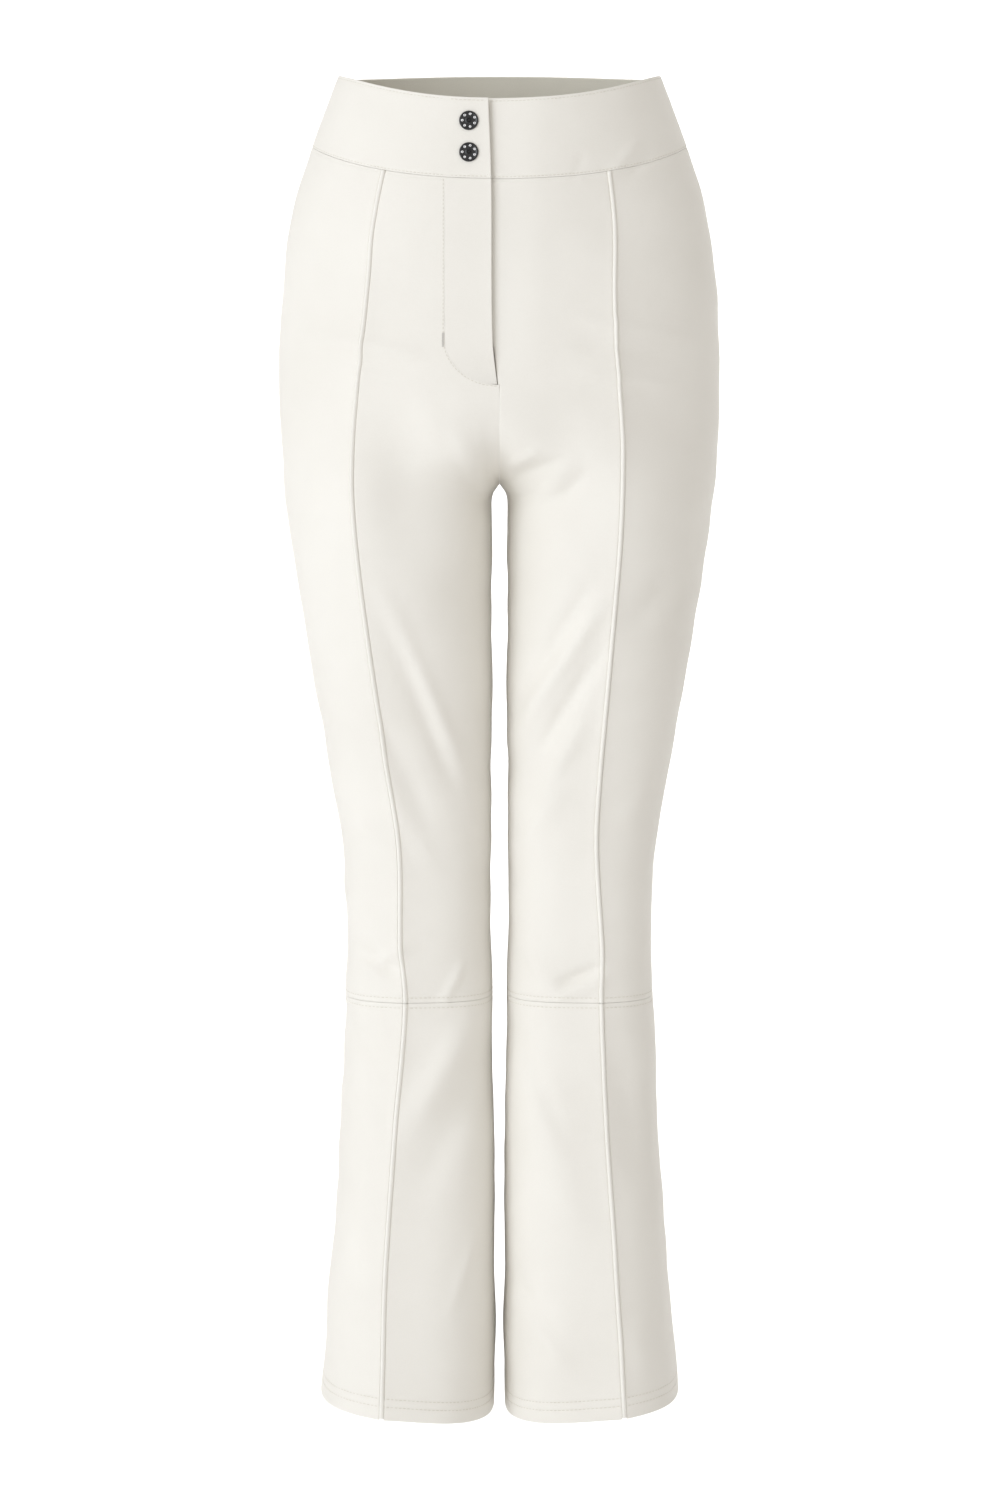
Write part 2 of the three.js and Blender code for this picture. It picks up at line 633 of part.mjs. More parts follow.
function snapProfiles() {
  const cap = capDiameter / 2;
  const socket = socketDiameter / 2;
  const rivet = rivetDiameter / 2;
  const knob = knobDiameter / 2;
  const mouth = knob + 2 * ply;
  const rim = -ply - snapBevel;
  const head = socketNear + snapWall;
  const roof = head + ply;
  const seat = socketFar + ply;
  const foot = underlapFar + ply;
  const base = socket - snapBevel;
  return {
    cap: [[0, -capHeight - ply], [cap - 4 * snapBevel, -capHeight - ply],
      [cap - snapBevel, -capHeight], [cap, rim - snapBevel], [cap, rim], [rivet, rim],
      [rivet, head], [0, head]],
    socket: [[rivetHole, socketNear], [socket, socketNear], [socket, socketFar - snapBevel],
      [base, socketFar], [mouth, socketFar], [mouth, roof], [rivetHole, roof],
      [rivetHole, socketNear]],
    stud: [[rivet - ply, seat - knobHeight + ply], [knob - snapBevel, seat - knobHeight],
      [knob, seat - knobHeight + snapBevel], [knob - snapBevel, seat], [base, seat],
      [base, seat + flange], [rivet - ply, seat + flange], [rivet - ply, seat - knobHeight + ply]],
    post: [[0, seat - ply], [rivet - 2 * ply, seat - ply], [rivet - 2 * ply, foot],
      [base, foot], [base, foot + snapWall], [0, foot + snapWall]],
  };
}

function snaps() {
  const profiles = snapProfiles();
  const names = ['upper', 'lower'];
  snapDrops.forEach((drop, i) => {
    const seat = snapSeat(drop);
    for (const [part, stuff] of [['cap', blackMetal], ['socket', steel], ['stud', steel], ['post', steel]]) {
      seat.add(solidMesh(`snap_${part}_${names[i]}`, turned(profiles[part]), stuff));
    }
    trousers.add(seat);
    const drill = toManifold(turned([[0, -2], [rivetHole, -2], [rivetHole, underlapFar + 2],
      [0, underlapFar + 2]], 12).applyMatrix4(seat.matrix));
    for (const name of ['waistband_tab', 'waistband_tab_facing', 'waistband_front_left',
      'waistband_front_left_facing']) {
      const mesh = trousers.getObjectByName(name);
      mesh.geometry = fromManifold(toManifold(mesh.geometry).subtract(drill));
    }
  });
}

for (const [side, name] of sides) {
  legPanels(side, name);
  hemFacing(side, name);
}
waistband();
waistbandBack();
placket();
zipHalves();
zipSlider();
zipPull();
snaps();

export default trousers;
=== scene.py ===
# Flared ski trousers: cloth, piping, stitching, zip and snaps around the fixed frame.
import json
import math
import bpy
import numpy as np
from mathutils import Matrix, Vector


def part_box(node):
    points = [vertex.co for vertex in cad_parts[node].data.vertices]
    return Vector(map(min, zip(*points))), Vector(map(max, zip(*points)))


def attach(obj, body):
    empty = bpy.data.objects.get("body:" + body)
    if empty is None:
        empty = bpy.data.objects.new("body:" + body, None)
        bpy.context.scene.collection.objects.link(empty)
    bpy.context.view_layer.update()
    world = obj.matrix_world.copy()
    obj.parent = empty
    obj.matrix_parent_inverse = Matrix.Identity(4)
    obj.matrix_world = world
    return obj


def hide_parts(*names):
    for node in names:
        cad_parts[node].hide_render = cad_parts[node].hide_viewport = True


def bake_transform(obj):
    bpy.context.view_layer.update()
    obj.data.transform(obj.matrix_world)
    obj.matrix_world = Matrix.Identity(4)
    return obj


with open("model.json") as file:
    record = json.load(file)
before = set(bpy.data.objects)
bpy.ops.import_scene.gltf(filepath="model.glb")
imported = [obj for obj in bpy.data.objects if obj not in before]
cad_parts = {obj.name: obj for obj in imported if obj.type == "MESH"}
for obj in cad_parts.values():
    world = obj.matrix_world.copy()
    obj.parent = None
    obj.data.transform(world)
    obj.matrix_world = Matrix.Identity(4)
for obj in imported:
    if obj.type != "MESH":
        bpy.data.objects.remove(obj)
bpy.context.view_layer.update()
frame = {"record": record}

right, left = -1, 1
sideNames = {right: "right", left: "left"}

# Lengths are metres. A drop is a distance down the centre front from the waist level.
cut = {"waistDip": 0.023, "waistRise": 0.007, "bandHeight": 0.063, "bandSeamLift": 0.030,
       "flyLength": 0.161, "forkDrop": 0.330, "kneeDrop": 0.744, "hemDrop": 1.088,
       "hemTilt": 0.014, "archHeight": 0.014, "fullness": 2.3, "forkFullness": 1.9,
       "legFullness": 0.4, "frontFullness": 0.5, "frontSeat": 0.4, "thighDrop": 0.545}
bandSeam = cut["waistDip"] + cut["bandHeight"]
flyFoot = bandSeam + cut["flyLength"]
fork, kneeLine, hemLine = cut["forkDrop"], cut["kneeDrop"], cut["hemDrop"]

# Half width, depth in front, depth behind and half the gap between the legs, by drop.
girths = np.array([
    [0.023, 0.1300, 0.0920, 0.088, 0.0065], [0.086, 0.1515, 0.0973, 0.101, 0.0065],
    [0.140, 0.1685, 0.1019, 0.113, 0.0065], [0.225, 0.1785, 0.1091, 0.127, 0.0065],
    [0.330, 0.1753, 0.1035, 0.107, 0.0065], [0.422, 0.1625, 0.0930, 0.099, 0.0063],
    [0.545, 0.1408, 0.0770, 0.080, 0.0062], [0.620, 0.1283, 0.0700, 0.073, 0.0074],
    [0.682, 0.1242, 0.0670, 0.070, 0.0068], [0.744, 0.1263, 0.0670, 0.071, 0.0065],
    [0.895, 0.1328, 0.0790, 0.084, 0.0042], [1.088, 0.1480, 0.0960, 0.097, 0.0038]])

# Where each front crease runs, as a share of the half width, by drop.
creases = {
    right: [[0.023, 0.600], [0.086, 0.605], [0.198, 0.590], [0.330, 0.655], [0.537, 0.645],
            [0.612, 0.625], [0.694, 0.640], [0.744, 0.600], [0.847, 0.640], [0.950, 0.660],
            [1.088, 0.640]],
    left: [[0.023, 0.570], [0.086, 0.570], [0.198, 0.505], [0.330, 0.550], [0.483, 0.568],
           [0.599, 0.592], [0.694, 0.657], [0.744, 0.645], [0.847, 0.657], [0.950, 0.672],
           [1.088, 0.675]]}


def curveThrough(pairs):
    # A cubic between each two pairs, with the slope of the line joining a pair's neighbours.
    at, value = np.array(pairs, float).T
    before = np.r_[0, np.arange(len(at) - 1)]
    after = np.r_[np.arange(1, len(at)), len(at) - 1]
    slope = (value[after] - value[before]) / (at[after] - at[before])

    def height(x):
        x = np.asarray(x, float)
        i = np.clip(np.searchsorted(at, x, side="right") - 1, 0, len(at) - 2)
        span = at[i + 1] - at[i]
        t = np.clip((x - at[i]) / span, 0, 1)
        rise = t * t * (3 - 2 * t)
        bend = span * t * (1 - t) * (slope[i] * (1 - t) - slope[i + 1] * t)
        return value[i] * (1 - rise) + value[i + 1] * rise + bend
    return height


def fade(low, high, x):
    t = np.clip((np.asarray(x, float) - low) / (high - low), 0, 1)
    return t * t * (3 - 2 * t)


def powered(x, power):
    return np.sign(x) * np.abs(x) ** power


halfWidthAt, frontAt, backAt, gapAt = [curveThrough(girths[:, [0, k]]) for k in (1, 2, 3, 4)]
creaseAt = {side: curveThrough(pairs) for side, pairs in creases.items()}


def fullAt(drop, behind=False):
    # The power of the superellipse: rounder at the fork, less so in front,
    # and then squarer towards the knees.
    near = fade(flyFoot, fork, drop) * (1 - fade(fork, cut["thighDrop"], drop))
    seat = (cut["forkFullness"] - cut["fullness"]) * near
    leg = fade(fork - 0.02, kneeLine - 0.12, drop)
    front = cut["frontSeat"] * seat + cut["frontFullness"] * leg
    return cut["fullness"] + np.where(behind, seat + cut["legFullness"] * leg, front)


def sectionAt(drop):
    # A superellipse about x = centre, whole below the fork and cut off at x = 0 above it.
    half = halfWidthAt(drop)
    arch = np.clip((drop - fork) / cut["archHeight"], 0, 1)
    gap = gapAt(drop) * np.sqrt(arch * (2 - arch))
    centre = (half * fade(flyFoot, fork, drop) + gap) / 2
    return centre, half - centre


def liftAt(turn, drop):
    # The band climbs to the sides and back, and the hem climbs to its outer edge.
    deep = np.abs(np.sin(turn))
    front = turn < 0
    atWaist = np.where(front, cut["waistDip"] * (1 - deep ** 2),
                       cut["waistDip"] + cut["waistRise"] * deep ** 2)
    atSeam = cut["bandSeamLift"] * np.where(front, 1 - deep ** 1.5, 1)
    share = np.clip((drop - cut["waistDip"]) / cut["bandHeight"], 0, 1)
    band = (atWaist * (1 - share) + atSeam * share) * (1 - fade(bandSeam, fork - 0.03, drop))
    outward = (1 + powered(np.cos(turn), 2 / fullAt(drop))) / 2
    belowKnee = np.clip((drop - kneeLine) / (hemLine - kneeLine), 0, None)
    return band + cut["hemTilt"] * outward * belowKnee


def bodyPoint(side, turn, drop):
    # x = centre + across * cos(turn)^p, y = depth * sin(turn)^p, z = lift - drop
    turn, drop = np.broadcast_arrays(turn, drop)
    centre, across = sectionAt(drop)
    depth = np.where(np.sin(turn) < 0, frontAt(drop), backAt(drop))
    power = 2 / fullAt(drop, np.sin(turn) > 0)
    x = side * (centre + across * powered(np.cos(turn), power))
    return np.stack([x, depth * powered(np.sin(turn), power), liftAt(turn, drop) - drop], -1)


def bodyNormal(side, turn, drop):
    round_ = bodyPoint(side, turn + 0.02, drop) - bodyPoint(side, turn - 0.02, drop)
    down = bodyPoint(side, turn, drop + 0.001) - bodyPoint(side, turn, drop - 0.001)
    out = -side * np.cross(round_, down)
    return out / np.linalg.norm(out, axis=-1, keepdims=True)


def frontTurn(distance, drop, behind=False):
    # The turn in front at this distance from x = 0, or behind, the mirror of the turn at the back.
    centre, across = sectionAt(drop)
    share = np.clip((distance - centre) / across, -1, 1)
    return -np.arccos(powered(share, fullAt(drop, behind) / 2))


def creaseTurn(side, drop):
    return frontTurn(creaseAt[side](drop) * halfWidthAt(drop), drop)


def nudged(turn, drop, distance):
    # A turn moved this far along the cloth.
    turn, drop = np.broadcast_arrays(np.asarray(turn, float), drop)
    start = bodyPoint(left, turn, drop)
    moved = turn + distance * 10
    for step in range(6):
        reached = np.linalg.norm(bodyPoint(left, moved, drop) - start, axis=-1)
        moved = turn + (moved - turn) * abs(distance) / reached
    return moved


fly = {"width": 0.043, "tip": 0.0017, "curve": 0.036, "step": 0.0063, "edge": 0.0032, "fade": 0.034,
       "leftEdge": 0.0110, "hair": 0.00003}
flapEdgeAt = curveThrough([[cut["waistDip"], 0.0087], [bandSeam, 0.0064],
                           [flyFoot - fly["curve"], 0.0054], [flyFoot, fly["tip"]]])


def innerTurn(way, drop):
    # The centre seam above the fork and the inseam below it; way is -1 in front, 1 behind.
    seam = frontTurn(fly["hair"], drop, way > 0)
    return -way * np.maximum(seam, nudged(-np.pi, drop, fly["hair"]))


def flapCurve(drop, inset):
    down = np.clip((drop - flyFoot + fly["curve"]) / (fly["curve"] - inset), 0, 1)
    bend = 1 - np.sqrt(1 - down * down)
    return fly["width"] - inset - (fly["width"] - inset - fly["tip"]) * bend


def leftEdgeTurn(drop):
    start = flyFoot - fly["curve"]
    out = fade(start - 0.008, start + 0.008, drop)
    edge = fly["leftEdge"] * (1 - out) + (flapEdgeAt(drop) - 0.0006) * out
    return np.where(drop > flyFoot, innerTurn(-1, drop), frontTurn(-edge, drop))


def rightEdgeTurn(drop):
    edge = flapCurve(drop, -fly["hair"])
    return np.where(drop > flyFoot, innerTurn(-1, drop), frontTurn(edge, drop))


def underlapDepth(side, turn, drop):
    if side == right:
        return np.zeros(np.broadcast_shapes(np.shape(turn), np.shape(drop)))
    centre, across = sectionAt(drop)
    x = centre + across * powered(np.cos(turn), 2 / fullAt(drop))
    level = fade(flyFoot - fly["curve"] + 0.008, flyFoot + 0.01, drop)
    deep = (fly["step"] - fly["edge"]) * (1 - fade(-0.018, -0.006, x))
    shallow = fly["edge"] * (1 - fade(-0.008, fly["fade"], x))
    return np.where(turn < 0, (deep + shallow) * (1 - level), 0)


# Soft folds: from x, z to x, z, half width, and height out of the cloth (negative is a hollow).
folds = [
    # wearer's right thigh
    (-0.094, -0.405, -0.030, -0.560, 0.0075, 0.0026),
    (-0.088, -0.430, -0.034, -0.575, 0.0080, -0.0026),
    (-0.100, -0.500, -0.056, -0.600, 0.0070, -0.0014),
    (-0.090, -0.560, -0.050, -0.640, 0.0080, 0.0012),
    (-0.085, -0.250, -0.066, -0.400, 0.0240, -0.0034),
    (-0.064, -0.262, -0.006, -0.330, 0.0120, 0.0016),
    (-0.052, -0.270, -0.012, -0.345, 0.0080, -0.0010),
    (-0.136, -0.560, -0.100, -0.610, 0.0110, 0.0012),
    (-0.030, -0.250, -0.026, -0.420, 0.0160, 0.0018),
    # wearer's right knee and shin
    (-0.112, -0.700, -0.078, -0.722, 0.0065, -0.0028),
    (-0.118, -0.728, -0.072, -0.694, 0.0055, 0.0016),
    (-0.046, -0.744, -0.030, -0.712, 0.0045, 0.0016),
    (-0.130, -0.640, -0.104, -0.690, 0.0110, 0.0018),
    (-0.020, -0.752, -0.080, -0.858, 0.0120, 0.0034),
    (-0.010, -0.790, -0.070, -0.905, 0.0140, -0.0022),
    (-0.126, -0.752, -0.090, -0.800, 0.0090, -0.0020),
    (-0.124, -0.815, -0.094, -0.850, 0.0110, 0.0018),
    (-0.018, -0.930, -0.042, -0.996, 0.0050, 0.0010),
    (-0.118, -0.900, -0.104, -0.990, 0.0160, 0.0016),
    # wearer's left thigh
    (0.010, -0.535, 0.086, -0.412, 0.0070, 0.0028),
    (0.022, -0.556, 0.084, -0.452, 0.0065, -0.0026),
    (0.014, -0.500, 0.078, -0.396, 0.0070, -0.0018),
    (0.030, -0.585, 0.072, -0.505, 0.0070, 0.0016),
    (0.018, -0.620, 0.060, -0.556, 0.0080, 0.0012),
    (0.004, -0.312, 0.034, -0.298, 0.0040, 0.0013),
    (0.006, -0.322, 0.050, -0.306, 0.0045, -0.0013),
    (0.018, -0.352, 0.060, -0.306, 0.0060, 0.0012),
    (0.042, -0.344, 0.072, -0.312, 0.0045, -0.0011),
    (0.040, -0.250, 0.080, -0.400, 0.0220, -0.0020),
    (0.100, -0.440, 0.142, -0.400, 0.0120, -0.0018),
    (0.096, -0.600, 0.124, -0.560, 0.0100, 0.0012),
    # wearer's left knee and shin
    (0.046, -0.730, 0.084, -0.714, 0.0045, -0.0030),
    (0.044, -0.742, 0.086, -0.724, 0.0045, 0.0014),
    (0.014, -0.690, 0.050, -0.740, 0.0080, 0.0012),
    (0.012, -0.762, 0.056, -0.860, 0.0070, -0.0012),
    (0.016, -0.780, 0.074, -0.960, 0.0200, 0.0026),
    (0.094, -0.770, 0.112, -0.900, 0.0140, -0.0024),
    (0.012, -0.970, 0.050, -1.020, 0.0070, -0.0016),
    (0.022, -0.985, 0.056, -1.040, 0.0080, 0.0014),
    (0.104, -1.000, 0.118, -1.050, 0.0110, 0.0014),
    # hollows where the hips run into the thighs
    (-0.138, -0.210, -0.138, -0.460, 0.0300, -0.0014),
    (0.138, -0.210, 0.138, -0.460, 0.0300, -0.0014),
    # small pulls in the waistband, above its seam
    (0.030, -0.088, 0.052, -0.058, 0.0035, 0.0022),
    (0.056, -0.090, 0.066, -0.066, 0.0035, -0.0020),
    (0.086, -0.084, 0.112, -0.052, 0.0045, 0.0022),
    (0.100, -0.086, 0.122, -0.064, 0.0040, -0.0018),
    # across the hips, beside the fly
    (-0.160, -0.205, -0.050, -0.226, 0.0060, 0.0010),
    (-0.150, -0.222, -0.048, -0.240, 0.0055, -0.0009),
    (0.040, -0.192, 0.160, -0.212, 0.0060, 0.0011),
    (0.036, -0.212, 0.150, -0.228, 0.0050, -0.0010),
    (0.044, -0.236, 0.150, -0.248, 0.0060, 0.0009),
]
backFolds = [
    (-0.012, -0.300, -0.090, -0.345, 0.0100, -0.0030),
    (0.012, -0.300, 0.090, -0.345, 0.0100, -0.0030),
    (-0.020, -0.330, -0.080, -0.385, 0.0090, 0.0022),
    (0.020, -0.330, 0.080, -0.385, 0.0090, 0.0022),
    (-0.110, -0.700, -0.020, -0.716, 0.0090, -0.0030),
    (0.110, -0.700, 0.020, -0.714, 0.0090, -0.0030),
    (-0.110, -0.670, -0.030, -0.650, 0.0090, -0.0022),
    (0.110, -0.668, 0.030, -0.652, 0.0090, -0.0022),
    (-0.100, -0.755, -0.026, -0.775, 0.0090, -0.0018),
    (0.100, -0.755, 0.026, -0.775, 0.0090, -0.0018),
    (-0.080, -0.820, -0.050, -0.960, 0.0180, 0.0022),
    (0.080, -0.820, 0.050, -0.960, 0.0180, 0.0022),
]
ripple = {"seed": 11, "count": 26, "height": 0.00042, "creaseHeight": 0.0066, "creaseWidth": 0.040,
          "edgeHeight": 0.0012, "edgeWidth": 0.007,
          "foldGain": 1.45, "puckerHeight": 0.00028, "puckerLength": 0.011, "puckerReach": 0.007}


def foldRelief(points, lines):
    # Each fold is a bell across its line, tapering to nothing at both ends.
    total = np.zeros(points.shape[:-1])
    for x0, z0, x1, z1, width, height in lines:
        alongX, alongZ = x1 - x0, z1 - z0
        length = math.hypot(alongX, alongZ)
        dx, dz = points[..., 0] - x0, points[..., 2] - z0
        t = (dx * alongX + dz * alongZ) / length ** 2
        away = (dx * alongZ - dz * alongX) / length
        taper = fade(-0.12, 0.35, t) * (1 - fade(0.65, 1.12, t))
        total += height * taper * np.exp(-(away / width) ** 2)
    return total


def rippleRelief(points):
    # A sum of slow waves, mostly running across the leg, in seeded directions.
    rng = np.random.default_rng(ripple["seed"])
    total = np.zeros(points.shape[:-1])
    for i in range(ripple["count"]):
        lengthwise, across = rng.uniform(40, 170), rng.normal(0, 34)
        phase, share = rng.uniform(0, 2 * np.pi), rng.uniform(0.4, 1)
        wave = lengthwise * points[..., 2] + across * (points[..., 0] + 0.6 * points[..., 1])
        total += share * np.sin(wave + phase) * (45 / lengthwise) ** 0.8
    return ripple["height"] * total / math.sqrt(ripple["count"]) * 3


def puckerRelief(side, turn, drop):
    # Small waves along the band and knee seams and the hem, dying away on both sides.
    arc = turn * halfWidthAt(drop) / 2 * (1 + fade(bandSeam, fork, drop) * -0.4)
    wave = np.sin(2 * np.pi * arc / ripple["puckerLength"] + 2.6 * np.sin(arc * 95 + side))
    wave = wave * (0.6 + 0.4 * np.sin(arc * 61 + 2 * side))
    near = np.zeros(np.broadcast_shapes(np.shape(turn), np.shape(drop)))
    for seam, share in ((bandSeam, 0.8), (kneeLine, 1.0), (hemLine - 0.012, 0.7)):
        near = near + share * np.exp(-(np.abs(drop - seam) / ripple["puckerReach"]) ** 1.5)
    return ripple["puckerHeight"] * wave * near


def atCrotch(points, drop):
    # 1 on the centre seam round the fork, where the two halves meet edge to edge, else 0.
    near = fade(flyFoot, fork - 0.03, drop) * (1 - fade(fork + 0.01, fork + 0.05, drop))
    return near * (1 - fade(0.002, 0.016, np.abs(points[..., 0])))


def relief(side, turn, drop, points):
    # Height of the cloth over the body: a pressed ridge at the crease, folds and ripples.
    # It dies away at the waistband, the fly and the hem, which are held flat.
    crease = bodyPoint(side, creaseTurn(side, drop), drop)
    away = np.linalg.norm(points - crease, axis=-1)
    ridge = ripple["creaseHeight"] * np.exp(-away / ripple["creaseWidth"])
    ridge = ridge + ripple["edgeHeight"] * np.exp(-away / ripple["edgeWidth"])
    ridge = ridge * fade(0.1, -0.7, turn) * fade(-np.pi, -2.5, turn)
    ridge = ridge * fade(bandSeam - 0.004, bandSeam + 0.14, drop)
    front = fade(0.012, -0.012, points[..., 1])
    soft = (ripple["foldGain"] * foldRelief(points, folds) * front
            + foldRelief(points, backFolds) * (1 - front))
    flyZone = (fade(0.075, 0.045, np.abs(points[..., 0])) * (turn < 0)
               * fade(flyFoot + 0.03, flyFoot - 0.01, drop))
    held = (0.4 + 0.6 * fade(bandSeam - 0.002, bandSeam + 0.05, drop)) * (1 - 0.85 * flyZone)
    pucker = puckerRelief(side, turn, drop) * (1 - 0.9 * flyZone)
    return (ridge + (soft + rippleRelief(points)) * held + pucker) * (1 - atCrotch(points, drop))


def makeMesh(name, points, faces, uv=None):
    # Faces are turned outwards where the closed mesh comes out inside out.
    points, faces = np.asarray(points, float), np.asarray(faces, int)
    a, b, c = points[faces[:, 0]], points[faces[:, 1]], points[faces[:, 2]]
    volume = np.einsum("ij,ij->", a, np.cross(b, c))
    if faces.shape[1] == 4:
        volume += np.einsum("ij,ij->", a, np.cross(c, points[faces[:, 3]]))
    if volume < 0:
        faces = faces[:, ::-1]
    mesh = bpy.data.meshes.new(name)
    mesh.vertices.add(len(points))
    mesh.vertices.foreach_set("co", points.ravel())
    mesh.loops.add(faces.size)
    mesh.loops.foreach_set("vertex_index", faces.ravel())
    mesh.polygons.add(len(faces))
    mesh.polygons.foreach_set("loop_start", np.arange(len(faces)) * faces.shape[1])
    mesh.polygons.foreach_set("use_smooth", np.ones(len(faces), bool))
    if uv is not None:
        layer = mesh.uv_layers.new(name="clothMap")
        layer.data.foreach_set("uv", uv[faces.ravel()].ravel())
    mesh.update(calc_edges=True)
    mesh.validate()
    piece = bpy.data.objects.new(name, mesh)
    bpy.context.scene.collection.objects.link(piece)
    return piece


def finish(piece, stuff, body="garment", nodes=()):
    piece.data.materials.append(stuff)
    if body:
        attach(piece, body)
    if nodes:
        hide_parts(*nodes)


def gridQuads(index):
    # The quads between neighbouring point numbers of a grid, or of a stack of grids.
    corners = [index[..., :-1, :-1], index[..., :-1, 1:], index[..., 1:, 1:], index[..., 1:, :-1]]
    return np.stack([corner.ravel() for corner in corners], -1)


def shellFaces(rows, columns, ring=False):
    # Quads of two grids, one under the other, and of the strips that join their edges.
    index = np.arange(2 * rows * columns).reshape(2, rows, columns)
    if ring:
        index = np.concatenate([index, index[:, :, :1]], axis=2)
    outer, inner = index
    parts = [gridQuads(outer), gridQuads(inner)[:, ::-1]]
    edges = [index[:, 0, :], index[:, -1, ::-1]]
    if not ring:
        edges += [index[:, ::-1, 0], index[:, :, -1]]
    parts += [gridQuads(edge)[:, ::-1] for edge in edges]
    return np.concatenate(parts)


def spaced(length, spacing, fine=()):
    # Places from 0 to length, close together at both ends and about each fine place.
    near = np.array([0, 0.0003, 0.0006, 0.001, 0.0015, 0.0022, 0.0032, 0.0045])
    around = np.array([-0.0018, -0.0011, -0.0006, -0.0003, 0, 0.0003, 0.0006, 0.0011, 0.0018])
    places = [near, length - near, np.arange(1, int(length / spacing)) * spacing]
    places += [f + around for f in fine]
    joined = np.unique(np.clip(np.concatenate(places), 0, length))
    return joined[np.r_[True, np.diff(joined) > 0.00018]]


clothing = {"thick": 0.0012, "seamDepth": 0.0003, "seamWidth": 0.0007, "spacing": 0.0034,
            "stitchDepth": 0.00042, "stitchWidth": 0.0010}


def edgeDepth(kind, distance, thick):
    # A seam dips the outer face, a fold rounds both faces together, plain does nothing.
    if kind == "seam":
        dip = clothing["seamDepth"] * np.exp(-(distance / clothing["seamWidth"]) ** 2)
        return dip, 0 * dip
    if kind == "fold":
        radius = thick / 2
        inside = np.clip(radius - distance, 0, radius)
        round_ = radius - np.sqrt(radius ** 2 - inside ** 2)
        return round_, -round_
    return 0 * distance, 0 * distance


def clothPiece(name, side, start, end, top, bottom, edges, thick=clothing["thick"], under=0.0,
               rowsFine=(), spacing=clothing["spacing"], flatHem=False, extra=None):
    # A closed sheet over rows of equal drop. edges names how the start, end, top and bottom
    # edges are made, under is how deep it lies, extra adds depth from the grid's own places.
    drops = top + spaced(bottom - top, spacing, [f - top for f in rowsFine])
    middle = (top + bottom) / 2
    sample = np.linspace(start(middle), end(middle), 60)
    width = np.linalg.norm(np.diff(bodyPoint(side, sample, middle), axis=0), axis=1).sum()
    places = spaced(width, spacing)
    # the first and last columns keep their own distance from the edge on every row
    share = places / width
    rows = drops[:, None] + 0 * share[None, :]
    turns = start(drops)[:, None] * (1 - share) + end(drops)[:, None] * share
    base = bodyPoint(side, turns, rows)
    normal = bodyNormal(side, turns, rows)
    steps = np.linalg.norm(np.diff(base, axis=1), axis=-1)
    along = np.concatenate([np.zeros((len(drops), 1)), np.cumsum(steps, axis=1)], axis=1)
    total = along[:, -1:]
    outer, inner = 0, 0
    kinds = zip(edges, (along, total - along, rows - top, bottom - rows))
    for kind, distance in kinds:
        dipOut, dipIn = edgeDepth(kind, distance, thick)
        outer, inner = outer + dipOut, inner + dipIn
    outer = outer * (1 - atCrotch(base, rows))
    lay = relief(side, turns, rows, base) - underlapDepth(side, turns, rows) - under
    if extra is not None:
        lay = lay + extra(along, total, rows, base)
    faces = [base + normal * (lay - outer)[..., None],
             base + normal * (lay - thick - inner)[..., None]]
    if flatHem:
        centre, across = sectionAt(hemLine)
        share = np.clip((rows - hemLine + 0.05) / 0.05, 0, 1)
        for layer in faces:
            outward = (side * layer[..., 0] - centre + across) / (2 * across)
            level = cut["hemTilt"] * outward - hemLine
            layer[..., 2] += share * (level - layer[..., 2] + hemLine - rows)
    points = np.concatenate([f.reshape(-1, 3) for f in faces])
    uv = np.stack([along, rows], -1).reshape(-1, 2)
    piece = makeMesh(name, points, shellFaces(*rows.shape), np.concatenate([uv, uv]))
    lengths = np.linalg.norm(np.diff(base, axis=0), axis=-1)
    area = 0.5 * (steps[:-1] + steps[1:]) * 0.5 * (lengths[:, :-1] + lengths[:, 1:])
    piece["flat"] = [float(total.max()), float(lengths.sum(0).max()), float(area.sum())]
    return piece


def declareSheet(piece):
    # The cloth laid flat, as it was cut: its width and length along the body, and its area.
    width, length, area = piece["flat"]
    area = min(area, width * length)
    print(f"sheet {piece.name}: {width * 1000:.0f} x {length * 1000:.0f} mm, {area * 1e4:.0f} cm2")
    del piece["flat"]


def material(name, **values):
    stuff = bpy.data.materials.new(name)
    stuff.use_nodes = True
    shader = stuff.node_tree.nodes["Principled BSDF"]
    for socket, value in values.items():
        shader.inputs[socket.replace("_", " ")].default_value = value
    return stuff, stuff.node_tree, shader


def node(tree, kind, **values):
    made = tree.nodes.new(kind)
    for key, value in values.items():
        if hasattr(made, key):
            setattr(made, key, value)
        else:
            made.inputs[key.replace("_", " ")].default_value = value
    return made


